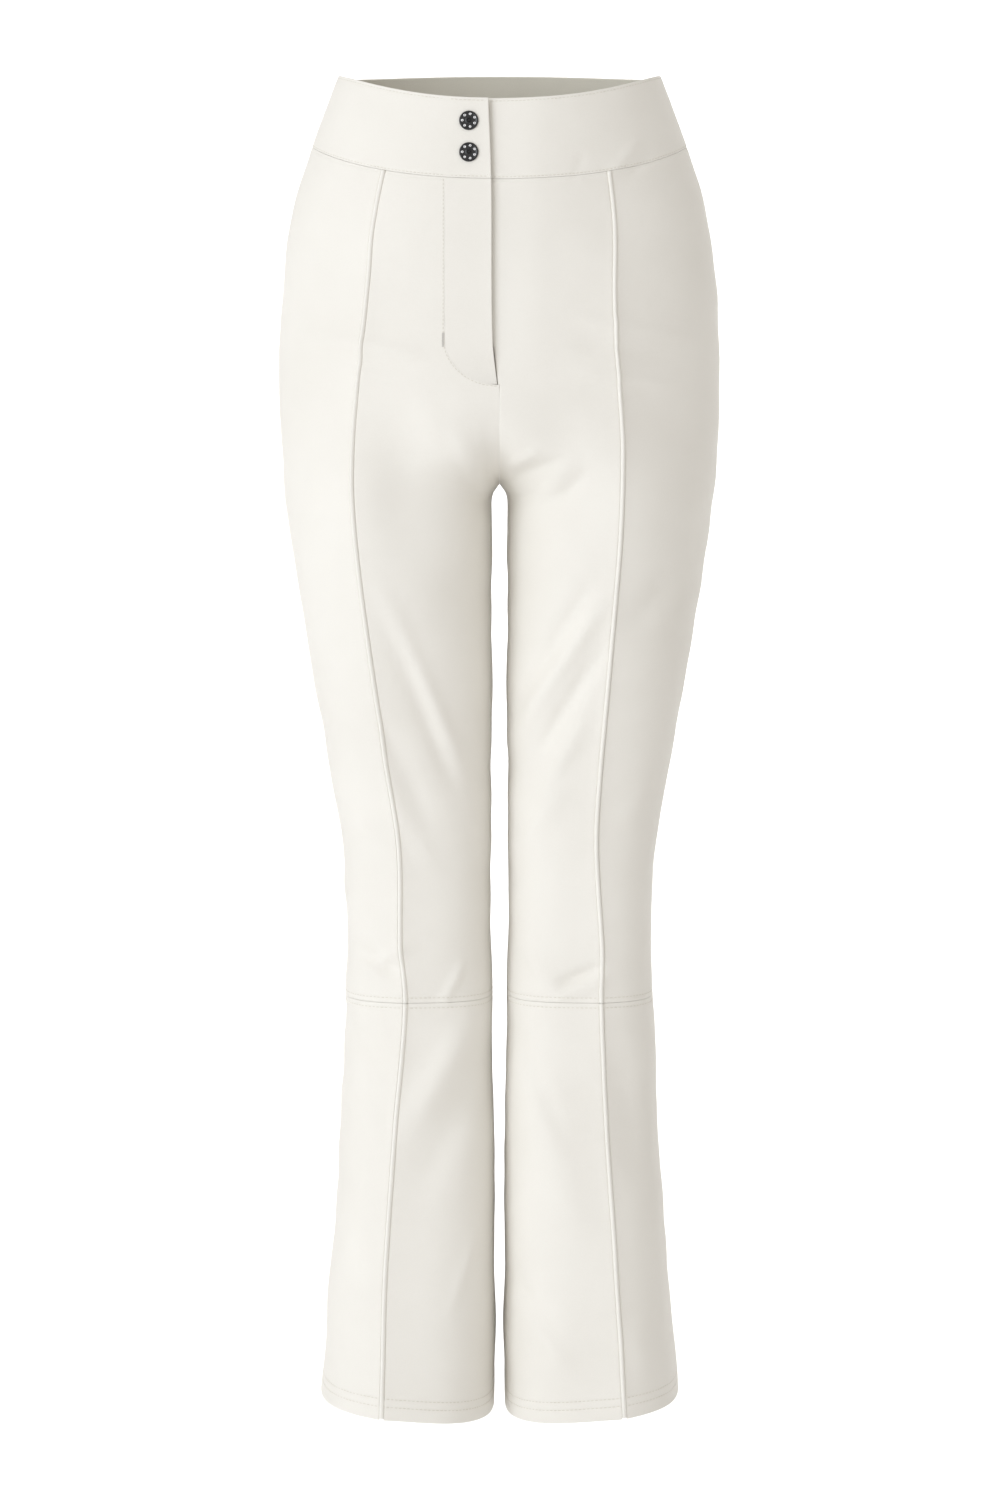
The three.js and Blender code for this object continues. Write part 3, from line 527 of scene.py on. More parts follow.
def wovenCloth(name, light, dark, weave=0.00009, roughness=0.66, sheen=0.04, lines=2200.0):
    # Twill: fine diagonal ribs on the piece's own map, slow colour drift, and roughness
    # that varies a little with the same noise.
    stuff, tree, shader = material(name, Sheen_Weight=sheen, Sheen_Roughness=0.5,
                                   Specular_IOR_Level=0.22)
    links = tree.links
    clothMap = node(tree, "ShaderNodeUVMap", uv_map="clothMap")
    place = node(tree, "ShaderNodeTexCoord")
    drift = node(tree, "ShaderNodeTexNoise", Scale=9.0, Detail=3.0, Roughness=0.55)
    fleck = node(tree, "ShaderNodeTexNoise", Scale=900.0, Detail=2.0, Roughness=0.6)
    links.new(place.outputs["Object"], drift.inputs["Vector"])
    links.new(place.outputs["Object"], fleck.inputs["Vector"])
    blend = node(tree, "ShaderNodeMath", operation="MULTIPLY_ADD")
    blend.inputs[1].default_value = 0.35
    links.new(fleck.outputs["Fac"], blend.inputs[0])
    links.new(drift.outputs["Fac"], blend.inputs[2])
    colour = node(tree, "ShaderNodeValToRGB")
    colour.color_ramp.elements[0].position, colour.color_ramp.elements[1].position = 0.42, 0.86
    colour.color_ramp.elements[0].color = (*dark, 1)
    colour.color_ramp.elements[1].color = (*light, 1)
    links.new(blend.outputs[0], colour.inputs["Fac"])
    links.new(colour.outputs["Color"], shader.inputs["Base Color"])
    rough = node(tree, "ShaderNodeMapRange")
    rough.inputs["To Min"].default_value = roughness - 0.06
    rough.inputs["To Max"].default_value = roughness + 0.08
    links.new(drift.outputs["Fac"], rough.inputs["Value"])
    links.new(rough.outputs["Result"], shader.inputs["Roughness"])
    turned = node(tree, "ShaderNodeMapping")
    turned.inputs["Rotation"].default_value = (0, 0, math.radians(27))
    turned.inputs["Scale"].default_value = (lines, lines, 1)
    links.new(clothMap.outputs["UV"], turned.inputs["Vector"])
    ribs = node(tree, "ShaderNodeTexWave", wave_type="BANDS", Scale=0.32, Distortion=1.6, Detail=1.0)
    links.new(turned.outputs["Vector"], ribs.inputs["Vector"])
    bump = node(tree, "ShaderNodeBump", Strength=0.55, Distance=weave)
    links.new(ribs.outputs["Fac"], bump.inputs["Height"])
    grain = node(tree, "ShaderNodeTexNoise", Scale=260.0, Detail=3.0)
    links.new(place.outputs["Object"], grain.inputs["Vector"])
    second = node(tree, "ShaderNodeBump", Strength=0.22, Distance=0.0004)
    links.new(grain.outputs["Fac"], second.inputs["Height"])
    links.new(bump.outputs["Normal"], second.inputs["Normal"])
    links.new(second.outputs["Normal"], shader.inputs["Normal"])
    return stuff


def metalFinish(name, colour, roughness, scratch=0.12, metal=1.0, coat=0.0):
    # Metal or enamel whose roughness breaks up with fine rubbing marks.
    stuff, tree, shader = material(name, Base_Color=(*colour, 1), Metallic=metal, Coat_Weight=coat,
                                   Coat_Roughness=0.05)
    place = node(tree, "ShaderNodeTexCoord")
    marks = node(tree, "ShaderNodeTexNoise", Scale=1400.0, Detail=4.0, Roughness=0.7)
    tree.links.new(place.outputs["Object"], marks.inputs["Vector"])
    spread = node(tree, "ShaderNodeMapRange")
    spread.inputs["To Min"].default_value = max(0.03, roughness - scratch / 2)
    spread.inputs["To Max"].default_value = roughness + scratch / 2
    tree.links.new(marks.outputs["Fac"], spread.inputs["Value"])
    tree.links.new(spread.outputs["Result"], shader.inputs["Roughness"])
    bump = node(tree, "ShaderNodeBump", Strength=0.15, Distance=0.00002)
    tree.links.new(marks.outputs["Fac"], bump.inputs["Height"])
    tree.links.new(bump.outputs["Normal"], shader.inputs["Normal"])
    return stuff


shellCloth = wovenCloth("creamSoftshell", (0.893, 0.865, 0.808), (0.853, 0.823, 0.764))
pipingCloth = wovenCloth("creamPiping", (0.90, 0.878, 0.822), (0.86, 0.836, 0.778), roughness=0.55)
# the facings are cream like the shell; this colour is darkened to a grey beige as painted shade,
# standing for the shadow inside the waist, fly and hems
facingCloth = wovenCloth("creamFacingPaintedShade", (0.81, 0.78, 0.69), (0.75, 0.72, 0.63), sheen=0.05,
                         lines=1500.0)
tapeCloth = wovenCloth("zipTapeCloth", (0.80, 0.775, 0.71), (0.72, 0.695, 0.63), weave=0.00014,
                       lines=1300.0)
# the thread is darkened to tan: partly the thread's own brownish colour, partly painted shade standing
# for the shadow in the stitch holes and furrows
threadCloth = wovenCloth("creamThreadPaintedShade", (0.79, 0.755, 0.68), (0.72, 0.685, 0.61), weave=0.00005,
                         lines=5200.0, roughness=0.5)
tackThread = wovenCloth("greyTackThread", (0.78, 0.76, 0.72), (0.70, 0.68, 0.64), weave=0.00005,
                        lines=5200.0)
blackEnamel = metalFinish("blackEnamel", (0.006, 0.006, 0.007), 0.30, metal=0.0, coat=0.15)
snapSteel = metalFinish("snapSteel", (0.86, 0.86, 0.87), 0.24)
zipSteel = metalFinish("zipSteel", (0.66, 0.66, 0.67), 0.32)
coilPlastic = metalFinish("coilPlastic", (0.78, 0.755, 0.69), 0.45, metal=0.0)
print("materials ready")

piping = {"width": 0.0034, "height": 0.0019, "gap": 0.0001, "foot": 0.0011, "sink": 0.0006,
          "pressed": 0.75, "spacing": 0.003}
knee = {"rows": (-0.0042, 0.0040), "pitch": 0.0036}
hemStitch = {"rows": (-0.0105, -0.0170), "pitch": 0.0034}


def stitchDip(lines):
    # A shallow furrow under each row of stitches, pinched a little at every stitch.
    def depth(along, total, rows, base):
        furrow = 0 * rows
        for line in lines:
            pinch = 0.75 + 0.25 * np.cos(2 * np.pi * along / knee["pitch"])
            furrow = furrow - pinch * np.exp(-((rows - line) / clothing["stitchWidth"]) ** 2)
        return furrow * clothing["stitchDepth"]
    return depth


def legPanels(side):
    name = sideNames[side]
    pipe = piping["width"] / 2 + piping["gap"]

    def crease(offset):
        return lambda drop: nudged(creaseTurn(side, drop), drop, offset)

    def seam(way):
        return lambda drop: nudged(0 * np.asarray(drop, float), drop, way * fly["hair"])
    inner = rightEdgeTurn if side == right else leftEdgeTurn
    shapes = [("front_side", seam(-1), crease(pipe), ("seam", "seam")),
              ("front_centre", crease(-pipe), inner, ("seam", "plain" if side == right else "seam")),
              ("back", seam(1), lambda drop: innerTurn(1, drop), ("seam", "seam"))]
    # each level's seams, its rows of stitching and the other rows that need a fine grid
    levels = [("upper", bandSeam + 0.0001, kneeLine - 0.0001, ("seam", "seam"),
               [bandSeam + 0.0015, kneeLine + knee["rows"][0]], [flyFoot]),
              ("lower", kneeLine + 0.0001, hemLine, ("seam", "fold"),
               [kneeLine + knee["rows"][1]] + [hemLine + row for row in hemStitch["rows"]], [])]
    for shape, start, end, across in shapes:
        for level, top, bottom, endEdges, stitched, fine in levels:
            made = f"{shape}_{level}_{name}"
            piece = clothPiece(f"cloth_{made}", side, start, end, top, bottom, (*across, *endEdges),
                               rowsFine=stitched + fine, flatHem=level == "lower",
                               extra=stitchDip(stitched))
            finish(piece, shellCloth, nodes=[made])
            declareSheet(piece)


def pipingStrip(side, level, top, bottom):
    # A half round carried down the crease, its foot tucked between the two panels.
    name = f"piping_{level}_{sideNames[side]}"
    drops = top + spaced(bottom - top, piping["spacing"])
    turn = creaseTurn(side, drops)
    angle = np.linspace(-np.pi / 2, np.pi / 2, 12)
    across = np.concatenate([[-0.9], np.sin(angle), [0.9]])
    crown = piping["height"] * np.cos(angle) ** 0.8 - piping["sink"]
    height = np.concatenate([[-piping["foot"]], crown, [-piping["foot"]]])
    rows = drops[:, None] + 0 * across
    turns = turn[:, None] + 0 * across
    offset = across * piping["width"] / 2
    step = nudged(turn, drops, piping["width"] / 2) - turn
    turns = turns + offset[None, :] / (piping["width"] / 2) * step[:, None]
    base = bodyPoint(side, turns, rows)
    lay = relief(side, turns, rows, base) - underlapDepth(side, turns, rows)
    normal = bodyNormal(side, turns, rows)
    # the ridge is pressed flat where the hem is turned up and stitched
    standing = 1 - piping["pressed"] * fade(hemLine - 0.020, hemLine - 0.016, rows)
    section = base + normal * (lay + np.where(height > 0, height * standing, height))[..., None]
    rowsCount, columns = rows.shape
    index = np.arange(rowsCount * columns).reshape(rowsCount, columns)
    closed = np.concatenate([index, index[:, :1]], axis=1)
    # flat ends, as a ladder of quads between the two halves of the ring
    half = columns // 2
    ends = []
    for row in (0, rowsCount - 1):
        ring, back = index[row], index[row][::-1]
        strip = np.stack([ring[:half - 1], ring[1:half], back[1:half], back[:half - 1]], -1)
        ends.append(strip if row else strip[:, ::-1])
    faces = np.concatenate([gridQuads(closed)] + ends)
    piece = makeMesh(f"cloth_{name}", section.reshape(-1, 3), faces,
                     np.stack([np.broadcast_to(offset, rows.shape), rows], -1).reshape(-1, 2))
    finish(piece, pipingCloth, nodes=[name])


for side in (right, left):
    legPanels(side)
    pipingStrip(side, "upper", bandSeam + 0.0002, kneeLine - 0.0002)
    pipingStrip(side, "lower", kneeLine + 0.0002, hemLine - 0.0008)
print("legs and piping ready")

band = {"bend": 0.004, "topStitch": 0.0022, "seamStitch": 0.0016, "pitch": 0.0031,
        "facingThick": 0.0007, "spacing": 0.003, "lift": 0.0011, "liftReach": 0.007}


def flapLift(fromEdge, rows):
    # The flap's free edge stands a little off the cloth behind, less towards its foot.
    away = 1 - fade(flyFoot - 0.05, flyFoot - 0.006, rows)
    return band["lift"] * away * np.exp(-fromEdge / band["liftReach"])


def bandPieces():
    hair = fly["hair"]
    top, bottom = cut["waistDip"], bandSeam - 0.0001

    def seam(way):
        return lambda drop: nudged(0 * np.asarray(drop, float), drop, way * hair)
    lines = [top + band["topStitch"], bandSeam - band["seamStitch"]]
    # the right front runs on into the tab as one strip, which bends over the fly's stitching
    shapes = [
        (["waistband_front_right", "waistband_tab"], right, seam(-1),
         lambda d: frontTurn(flapEdgeAt(d), d), ("seam", "fold")),
        (["waistband_front_left"], left, seam(-1), lambda d: frontTurn(0.001 - fly["width"], d),
         ("seam", "fold")),
        (["waistband_back"], left, seam(1), lambda d: np.pi - seam(1)(d), ("seam", "seam"))]
    for names, side, start, end, ends in shapes:
        def shaping(along, total, rows, base, bends=len(names) > 1):
            lifted = flapLift(total - along, rows) if bends else 0
            return stitchDip(lines)(along, total, rows, base) + lifted
        piece = clothPiece("cloth_" + names[0], side, start, end, top, bottom, (*ends, "fold", "seam"),
                           rowsFine=lines, spacing=band["spacing"], extra=shaping)
        facing = [name + "_facing" for name in names]
        lining = clothPiece("cloth_" + facing[0], side, start, end, top + 0.0002, bottom,
                            ("plain", "fold" if ends[1] == "fold" else "plain", "fold", "fold"),
                            thick=band["facingThick"], under=clothing["thick"] + 0.0001,
                            spacing=band["spacing"], extra=None if len(names) == 1 else
                            lambda along, total, rows, base: flapLift(total - along, rows))
        for made, stuff, slot, nodes in ((piece, shellCloth, "shell_cloth", names),
                                         (lining, facingCloth, "facing_cloth", facing)):
            finish(made, stuff, body="garment" if len(names) == 1 else None, nodes=nodes)
            if len(names) > 1:
                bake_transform(made)
            declareSheet(made)


bandPieces()
print("waistband ready")


def placket():
    def edge(drop):
        return frontTurn(flapEdgeAt(drop), drop)
    foot = flyFoot - 0.0004
    shapes = [("placket_flap", fly["hair"], 0.0, clothing["thick"], shellCloth, "shell_cloth",
               bandSeam + 0.0001),
              ("placket_facing", 0.0013, clothing["thick"] + 0.0001, band["facingThick"], facingCloth,
               "facing_cloth", bandSeam + 0.0006)]
    for name, inset, under, thick, stuff, slot, top in shapes:
        def start(drop, inset=inset):
            return frontTurn(np.maximum(flapCurve(drop, inset), flapEdgeAt(drop) + 0.0004), drop)
        piece = clothPiece("cloth_" + name, right, start, edge, top, foot - inset,
                           ("plain", "fold", "seam" if under == 0 else "plain", "plain"), thick=thick,
                           under=under, spacing=0.0024,
                           extra=lambda along, total, rows, base: flapLift(total - along, rows))
        finish(piece, stuff, body=None, nodes=[name])
        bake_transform(piece)
        declareSheet(piece)
    shield = clothPiece("cloth_fly_shield", right, lambda d: frontTurn(fly["width"] - 0.003, d),
                        lambda d: frontTurn(0.003 + 0 * d, d), bandSeam + 0.005, flyFoot - 0.005,
                        ("fold", "fold", "fold", "fold"), under=0.0115, spacing=0.003)
    finish(shield, shellCloth, nodes=["fly_shield"])
    declareSheet(shield)


placket()
print("fly ready")


turnedHem = {"width": 0.0205, "short": 0.001, "thick": 0.0009, "spacing": 0.003, "columns": 180}


def hemTurning(side):
    # The turned-up edge inside each hem, a ring of cloth close behind the shell.
    width, thick = turnedHem["width"], turnedHem["thick"]
    drops = hemLine - turnedHem["short"] - width + spaced(width, turnedHem["spacing"])
    turns = np.linspace(-np.pi, np.pi, turnedHem["columns"] + 1)[:-1]
    rows, turn = np.meshgrid(drops, turns, indexing="ij")
    base, normal = bodyPoint(side, turn, rows), bodyNormal(side, turn, rows)
    lay = relief(side, turn, rows, base) - clothing["thick"] - 0.0002
    round_, _ = edgeDepth("fold", rows - drops[0], thick)
    faces = [base + normal * (lay - round_)[..., None],
             base + normal * (lay - thick + round_)[..., None]]
    points = np.concatenate([f.reshape(-1, 3) for f in faces])
    around = np.broadcast_to(turns * 0.085, rows.shape)
    uv = np.stack([around, rows], -1).reshape(-1, 2)
    name = f"hem_facing_{sideNames[side]}"
    piece = makeMesh("cloth_" + name, points, shellFaces(*rows.shape, ring=True),
                     np.concatenate([uv, uv]))
    ringLength = np.linalg.norm(np.diff(base[-1], axis=0), axis=1).sum()
    piece["flat"] = [float(ringLength), width, float(ringLength * width)]
    finish(piece, facingCloth, nodes=[name])
    declareSheet(piece)


for side in (right, left):
    hemTurning(side)


def stitchRow(path, out, pitch, length, width, height):
    # Each stitch is a small six-sided spindle laid along the path, its ends sunk in the cloth.
    steps = np.linalg.norm(np.diff(path, axis=0), axis=1)
    along = np.concatenate([[0], np.cumsum(steps)])
    count = int(along[-1] / pitch)
    centres = (np.arange(count) + 0.5) * along[-1] / count
    t = np.array([-0.5, -0.32, 0, 0.32, 0.5])
    at = centres[:, None] + t[None, :] * length
    spine = np.stack([np.interp(at, along, path[:, k]) for k in range(3)], -1)
    normal = np.stack([np.interp(at, along, out[:, k]) for k in range(3)], -1)
    normal /= np.linalg.norm(normal, axis=-1, keepdims=True)
    ahead = spine[:, 2:3] - spine[:, 1:2]
    sideways = np.cross(normal, np.broadcast_to(ahead, normal.shape))
    sideways /= np.linalg.norm(sideways, axis=-1, keepdims=True)
    sink = np.array([-0.9, 0.1, 0.6, 0.1, -0.9]) * height
    size = np.array([0.35, 0.9, 1, 0.9, 0.35])
    angle = np.arange(6) * np.pi / 3
    ring = (np.cos(angle)[:, None] * sideways[:, :, None, :] * width / 2
            + np.sin(angle)[:, None] * normal[:, :, None, :] * height)
    points = (spine[:, :, None, :] + normal[:, :, None, :] * sink[None, :, None, None]
              + ring * size[None, :, None, None])
    index = np.arange(points.size // 3).reshape(points.shape[:3])
    index = np.concatenate([index, index[:, :, :1]], axis=2)
    # two quads close the six-sided ring at each end
    closing = ((0, (3, 2, 1, 0)), (0, (0, 5, 4, 3)), (-1, (0, 1, 2, 3)), (-1, (3, 4, 5, 0)))
    caps = [index[:, end][:, list(corners)] for end, corners in closing]
    return points.reshape(-1, 3), np.concatenate([gridQuads(index)] + caps)


def stitchPiece(name, rows, stuff=None, body="garment", pitch=0.0034, length=0.0027, width=0.0006,
                height=0.00028):
    points, faces, base = [], [], 0
    for path, out in rows:
        madePoints, madeFaces = stitchRow(path, out, pitch, length, width, height)
        points.append(madePoints)
        faces.append(madeFaces + base)
        base += len(madePoints)
    points, faces = np.concatenate(points), np.concatenate(faces)
    piece = makeMesh(name, points, faces, points[:, [0, 2]])
    finish(piece, stuff or threadCloth, body=body)


def onCloth(side, turn, drop, dip=None):
    # The path of a row of stitches: just over the cloth, in its furrow.
    turn, drop = np.broadcast_arrays(turn, drop)
    base = bodyPoint(side, turn, drop)
    out = bodyNormal(side, turn, drop)
    lay = relief(side, turn, drop, base) - underlapDepth(side, turn, drop)
    if dip is None:
        dip = clothing["stitchDepth"] * 0.8
    return base + out * (lay - dip)[..., None], out


def tabRow(distance, drop):
    path, out = onCloth(right, frontTurn(distance, drop), drop)
    lifted = flapLift(distance - flapEdgeAt(drop), drop + 0 * distance)
    return path + out * lifted[:, None], out


# How far rows of stitches keep from the piping, the seams (as turns) and the flap's free edge.
sewing = {"pipingClear": 0.0028, "inseamTurn": 0.03, "sideTurn": 0.02, "backClear": 0.0022,
          "tabClear": 0.0028}
bandStitch = {"pitch": band["pitch"], "length": 0.0024, "width": 0.0005, "height": 0.00022}


def roundTheLeg(side, drop, count):
    # Three rows at one level: each side of the crease in front, and across the back.
    crease = creaseTurn(side, drop)
    gap = nudged(crease, drop, sewing["pipingClear"]) - crease
    inseam, sideSeam = np.pi - sewing["inseamTurn"], sewing["sideTurn"]
    stretches = ((-inseam, crease - gap), (crease + gap, -sideSeam), (sideSeam, inseam))
    return [onCloth(side, np.linspace(start, end, count), drop) for start, end in stretches]


def stitching():
    for side in (right, left):
        for part, line, sewn, count in (("knee", kneeLine, knee, 160), ("hem", hemLine, hemStitch, 200)):
            rows = []
            for row in sewn["rows"]:
                rows += roundTheLeg(side, line + row, count)
            stitchPiece(f"{part}_stitching_{sideNames[side]}", rows, pitch=sewn["pitch"])
    drops = np.linspace(bandSeam + 0.003, fork - 0.006, 200)
    beside = nudged(innerTurn(1, drops), drops, -sewing["backClear"])
    stitchPiece("centre_back_stitching", [onCloth(side, beside, drops) for side in (right, left)])
    ends = (cut["waistDip"] + band["topStitch"], bandSeam - band["seamStitch"])
    near = sewing["inseamTurn"]
    rows, tabRows = [], []
    for drop in ends:
        toFlap = frontTurn(fly["width"] + 0.001, drop)
        toEdge = frontTurn(0.0015 - flapEdgeAt(drop), drop)
        rows.append(onCloth(right, np.linspace(-near, float(toFlap), 160), drop))
        rows.append(onCloth(left, np.linspace(-near, float(toEdge), 220), drop))
        rows.append(onCloth(left, np.linspace(near, np.pi - near, 300), drop))
        tabRows.append(tabRow(np.linspace(fly["width"] - 0.004, flapEdgeAt(drop) + 0.0032, 60), drop))
    stitchPiece("waistband_stitching", rows, **bandStitch)
    drops = np.linspace(*ends, 60)
    tabRows.append(tabRow(flapEdgeAt(drops) + sewing["tabClear"], drops))
    stitchPiece("tab_stitching", tabRows, body="fly_flap", **bandStitch)


stitching()


flyStitch = {"beside": 0.0012, "pitch": 0.0031, "length": 0.0023, "width": 0.00055, "height": 0.00026}
barTack = {"above": 0.004, "below": 0.007, "apart": 0.0006, "pitch": 0.0011, "length": 0.0012,
           "width": 0.0006, "height": 0.0003}


def flyStitching():
    # Down the straight of the placket on the garment's side, round the curve to the centre.
    beside, turning = flyStitch["beside"], flyFoot - fly["curve"]
    straight = np.linspace(bandSeam + 0.001, turning, 90)
    path, out = onCloth(right, frontTurn(fly["width"] + beside, straight), straight, dip=0.0)
    bend = np.linspace(0.04, np.pi / 2, 60)
    radiusX, radiusZ = fly["width"] - fly["tip"], fly["curve"] + beside
    x = fly["width"] + beside - (radiusX + beside) * (1 - np.cos(bend))
    drop = turning + radiusZ * np.sin(bend)
    curve, curveOut = onCloth(right, frontTurn(x, drop), drop, dip=0.0)
    path, out = np.concatenate([path, curve]), np.concatenate([out, curveOut])
    stitchPiece("fly_stitching", [(path, out)], pitch=flyStitch["pitch"], length=flyStitch["length"],
                width=flyStitch["width"], height=flyStitch["height"])
    tack = np.linspace(turning - barTack["above"], turning + barTack["below"], 12)
    rows = []
    for shift in (-barTack["apart"], 0, barTack["apart"]):
        rows.append(onCloth(right, frontTurn(fly["width"] + beside + shift, tack), tack, dip=-0.0002))
    stitchPiece("fly_bar_tack", rows, stuff=tackThread, pitch=barTack["pitch"],
                length=barTack["length"], width=barTack["width"], height=barTack["height"])


flyStitching()
print("stitching ready")

snap = {"radius": 0.0076, "bevel": 0.0009, "dots": 7, "dotRing": 0.0051, "dotRadius": 0.00112}


def turnedSurface(profile, segments):
    # A profile of radius and height spun about z, closed at both poles.
    radius, height = np.array(profile).T
    angle = np.arange(segments) * 2 * np.pi / segments
    around, level = radius[1:-1, None], height[1:-1, None]
    ring = np.stack([around * np.cos(angle), around * np.sin(angle), level + 0 * angle], -1)
    points = np.concatenate([[[0, 0, height[0]]], ring.reshape(-1, 3), [[0, 0, height[-1]]]])
    index = 1 + np.arange((len(radius) - 2) * segments).reshape(-1, segments)
    index = np.concatenate([index, index[:, :1]], axis=1)
    quads = gridQuads(index)
    top = np.stack([np.zeros(segments, int), index[0, :-1], index[0, 1:]], -1)
    last = len(points) - 1
    base = np.stack([np.full(segments, last), index[-1, 1:], index[-1, :-1]], -1)
    triangles = np.concatenate([top, base])
    quads = np.concatenate([quads[:, [0, 1, 2]], quads[:, [0, 2, 3]]])
    return points, np.concatenate([quads, triangles])


def snapCaps():
    mounts = {mount["name"]: mount for mount in frame["record"]["mounts"]}
    radius = snap["radius"]
    curve = np.linspace(0, np.pi / 2, 7)
    bevel = snap["bevel"]
    rim = [(radius - bevel + bevel * math.sin(a), -0.0001 - bevel + bevel * math.cos(a)) for a in curve]
    # a small boss, a sunk ring for the dots, the rim and the flat back
    profile = [(0, 0.0001), (0.0012, 0.00008), (0.0020, -0.0001), (0.0024, -0.00045),
               (0.0030, -0.00055), (0.0058, -0.00045), (0.0062, -0.00025), *rim,
               (radius, -0.0014), (radius - 0.0004, -0.0018), (0, -0.0018)]
    for place in ("upper", "lower"):
        mount = mounts[f"{place}_snap_face"]
        out = Vector(mount["axis"]).normalized()
        turn = np.array(out.to_track_quat("Z", "Y").to_matrix())
        centre = np.array(mount["pos_m"])
        points, faces = turnedSurface(profile, 64)
        cap = makeMesh(f"snap_cap_enamel_{place}", points @ turn.T + centre, faces)
        finish(cap, blackEnamel, body="fly_flap", nodes=[f"snap_cap_{place}"])
        dot = snap["dotRadius"]
        dome = [(0, 0.0001), (0.25 * dot, 0.00012), (0.45 * dot, 0.0004), (0.72 * dot, 0.00045),
                (0.92 * dot, 0.0003), (dot, 0), (dot, -0.0002), (0, -0.0002)]
        dots, dotFaces, base = [], [], 0
        for i in range(snap["dots"]):
            angle = 2 * math.pi * (i + 0.5) / snap["dots"]
            knob, knobFaces = turnedSurface(dome, 14)
            ring = snap["dotRing"]
            knob = knob + [ring * math.cos(angle), ring * math.sin(angle), -0.00045]
            dots.append(knob)
            dotFaces.append(knobFaces + base)
            base += len(knob)
        studs = makeMesh(f"snap_cap_dots_{place}", np.concatenate(dots) @ turn.T + centre,
                         np.concatenate(dotFaces))
        finish(studs, snapSteel, body="fly_flap")


snapCaps()


# Along the zip, from the waist down, the slider runs in this direction in the plane x = middle.
teeth = {"middle": -0.024, "down": (0, -0.084375, -0.996434), "pitch": 0.0016, "halfHeight": 0.00066,
         "halfDepth": 0.0010, "sides": 12}


def zipTeeth(name, body, way):
    # Each tooth is a small rounded block that reaches over the middle between its neighbours.
    low, high = [np.array(v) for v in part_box(f"zip_coil_{name}")]
    down = np.array(teeth["down"])
    inward = np.array([0, -down[2], down[1]])
    pitch, sides = teeth["pitch"], teeth["sides"]
    count = int((high[2] - low[2]) / -down[2] / pitch)
    middle = np.array([teeth["middle"], (low[1] + high[1]) / 2, (low[2] + high[2]) / 2])
    places = (np.arange(count) - (count - 1) / 2 + way * 0.25) * pitch
    centres = middle + places[:, None] * down
    u = np.linspace(0, 2 * np.pi, sides + 1)[:-1]
    reach = np.array([-0.0006, -0.0002, 0.0008, 0.0018, 0.0028, 0.0031])
    girth = np.array([0.25, 0.8, 0.62, 0.62, 0.8, 0.3])
    side = np.array([1.0 * way, 0, 0])
    ring = (np.cos(u)[:, None] * down * teeth["halfHeight"]
            + np.sin(u)[:, None] * inward * teeth["halfDepth"])
    points = (centres[:, None, None, :] + reach[None, :, None, None] * side
              + ring[None, None, :, :] * girth[None, :, None, None])
    rows = len(reach)
    index = np.arange(count * rows * sides).reshape(count, rows, sides)
    quads = gridQuads(np.concatenate([index, index[:, :, :1]], axis=2))
    caps = []
    for row, flip in ((0, False), (rows - 1, True)):
        r = index[:, row]
        for k in range(sides // 2 - 1):
            quad = r[:, [k, k + 1, sides - 2 - k, sides - 1 - k]]
            caps.append(quad if flip else quad[:, ::-1])
    piece = makeMesh(f"zip_teeth_{name}", points.reshape(-1, 3), np.concatenate([quads] + caps))
    finish(piece, coilPlastic, body=body, nodes=[f"zip_coil_{name}"])


zipTeeth("left", "garment", 1)
zipTeeth("right", "zip_right_half", -1)

# The pieces of the frame that keep their own mesh, and what each is made of.
kept = {"zip_tape_right": tapeCloth, "zip_tape_left": tapeCloth, "zip_slider": zipSteel,
        "zip_pull": zipSteel, "zip_top_stop_right": zipSteel, "zip_top_stop_left": zipSteel,
        "zip_bottom_stop": zipSteel, "snap_socket_upper": snapSteel, "snap_socket_lower": snapSteel,
        "snap_stud_upper": snapSteel, "snap_stud_lower": snapSteel, "snap_post_upper": snapSteel,
        "snap_post_lower": snapSteel}
for name, stuff in kept.items():
    piece = bpy.data.objects[name]
    for slot in piece.material_slots:
        slot.material = stuff
print("zip and snaps ready")

studio = {"middle": -0.5455, "distance": 3.2, "pitch": math.radians(5.4), "frameHeight": 1.23,
          "floorDrop": 0.90}


def addCamera():
    data = bpy.data.cameras.new("camera")
    camera = bpy.data.objects.new("camera", data)
    bpy.context.scene.collection.objects.link(camera)
    away, pitch = studio["distance"], studio["pitch"]
    camera.location = (0.0004, -away * math.cos(pitch), studio["middle"] + away * math.sin(pitch))
    camera.rotation_euler = (math.pi / 2 - pitch, 0, 0)
    data.sensor_fit = "VERTICAL"
    data.sensor_height = 24
    data.lens = 24 * away / studio["frameHeight"]
    data.clip_end = 60
    bpy.context.scene.camera = camera


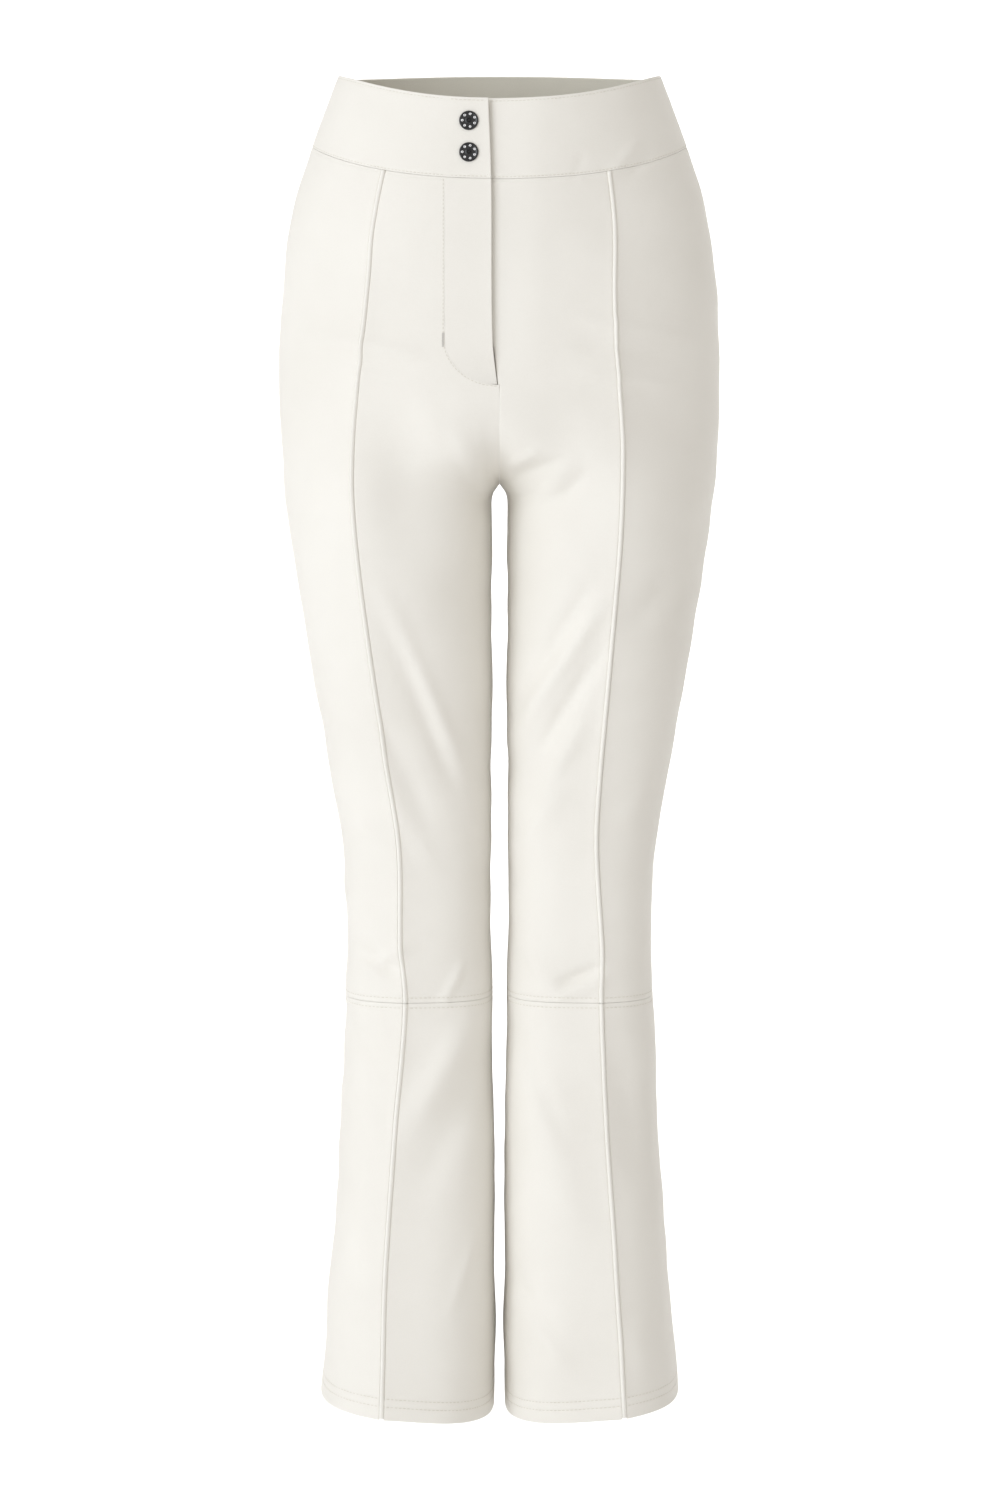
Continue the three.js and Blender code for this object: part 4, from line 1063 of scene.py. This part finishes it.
def addSweep():
    # A pale floor that curves up into a backdrop: a profile carried across in x.
    floorZ = -hemLine - studio["floorDrop"]
    bend = np.linspace(0, np.pi / 2, 25)
    y = np.concatenate([[-9, -4, 0], 3.0 + 2.0 * np.sin(bend), [5.0, 5.0]])
    z = np.concatenate([[0, 0, 0], 2.0 - 2.0 * np.cos(bend), [4.0, 9.0]]) + floorZ
    x = np.array([-12.0, 12.0])
    points = np.stack([np.repeat(x, len(y)), np.tile(y, 2), np.tile(z, 2)], -1)
    i = np.arange(len(y) - 1)
    faces = np.stack([i, i + 1, i + 1 + len(y), i + len(y)], -1)
    mesh = bpy.data.meshes.new("sweep")
    mesh.from_pydata(points.tolist(), [], faces.tolist())
    mesh.polygons.foreach_set("use_smooth", np.ones(len(faces), bool))
    sweep = bpy.data.objects.new("sweep", mesh)
    bpy.context.scene.collection.objects.link(sweep)
    paper = material("paleFloor", Base_Color=(0.94, 0.94, 0.94, 1), Roughness=0.9)[0]
    mesh.materials.append(paper)


def addLight(name, place, aim, size, power, colour=(1, 1, 1)):
    data = bpy.data.lights.new(name, "AREA")
    data.shape = "RECTANGLE"
    data.size, data.size_y = size
    data.energy = power
    data.color = colour
    light = bpy.data.objects.new(name, data)
    bpy.context.scene.collection.objects.link(light)
    light.location = place
    light.rotation_euler = (Vector(aim) - Vector(place)).to_track_quat("-Z", "Y").to_euler()


def addLights():
    middle = (0, 0, studio["middle"])
    addLight("key", (-2.7, -2.5, 0.4), middle, (2.2, 3.2), 64, (0.88, 0.935, 1.0))
    addLight("front", (0.6, -4.6, 0.6), middle, (3.0, 2.4), 9)
    addLight("backdropWash", (0, 3.3, 1.0), (0, 6.0, -1.5), (8.0, 1.2), 105)
    addLight("behind", (1.9, 3.0, 0.8), middle, (2.0, 2.6), 10)
    world = bpy.data.worlds.new("studioWorld")
    world.use_nodes = True
    world.node_tree.nodes["Background"].inputs["Color"].default_value = (1, 0.978, 0.946, 1)
    world.node_tree.nodes["Background"].inputs["Strength"].default_value = 0.665
    bpy.context.scene.world = world
    bpy.context.scene.view_settings.view_transform = "Standard"


addCamera()
addSweep()
addLights()
print("studio ready")
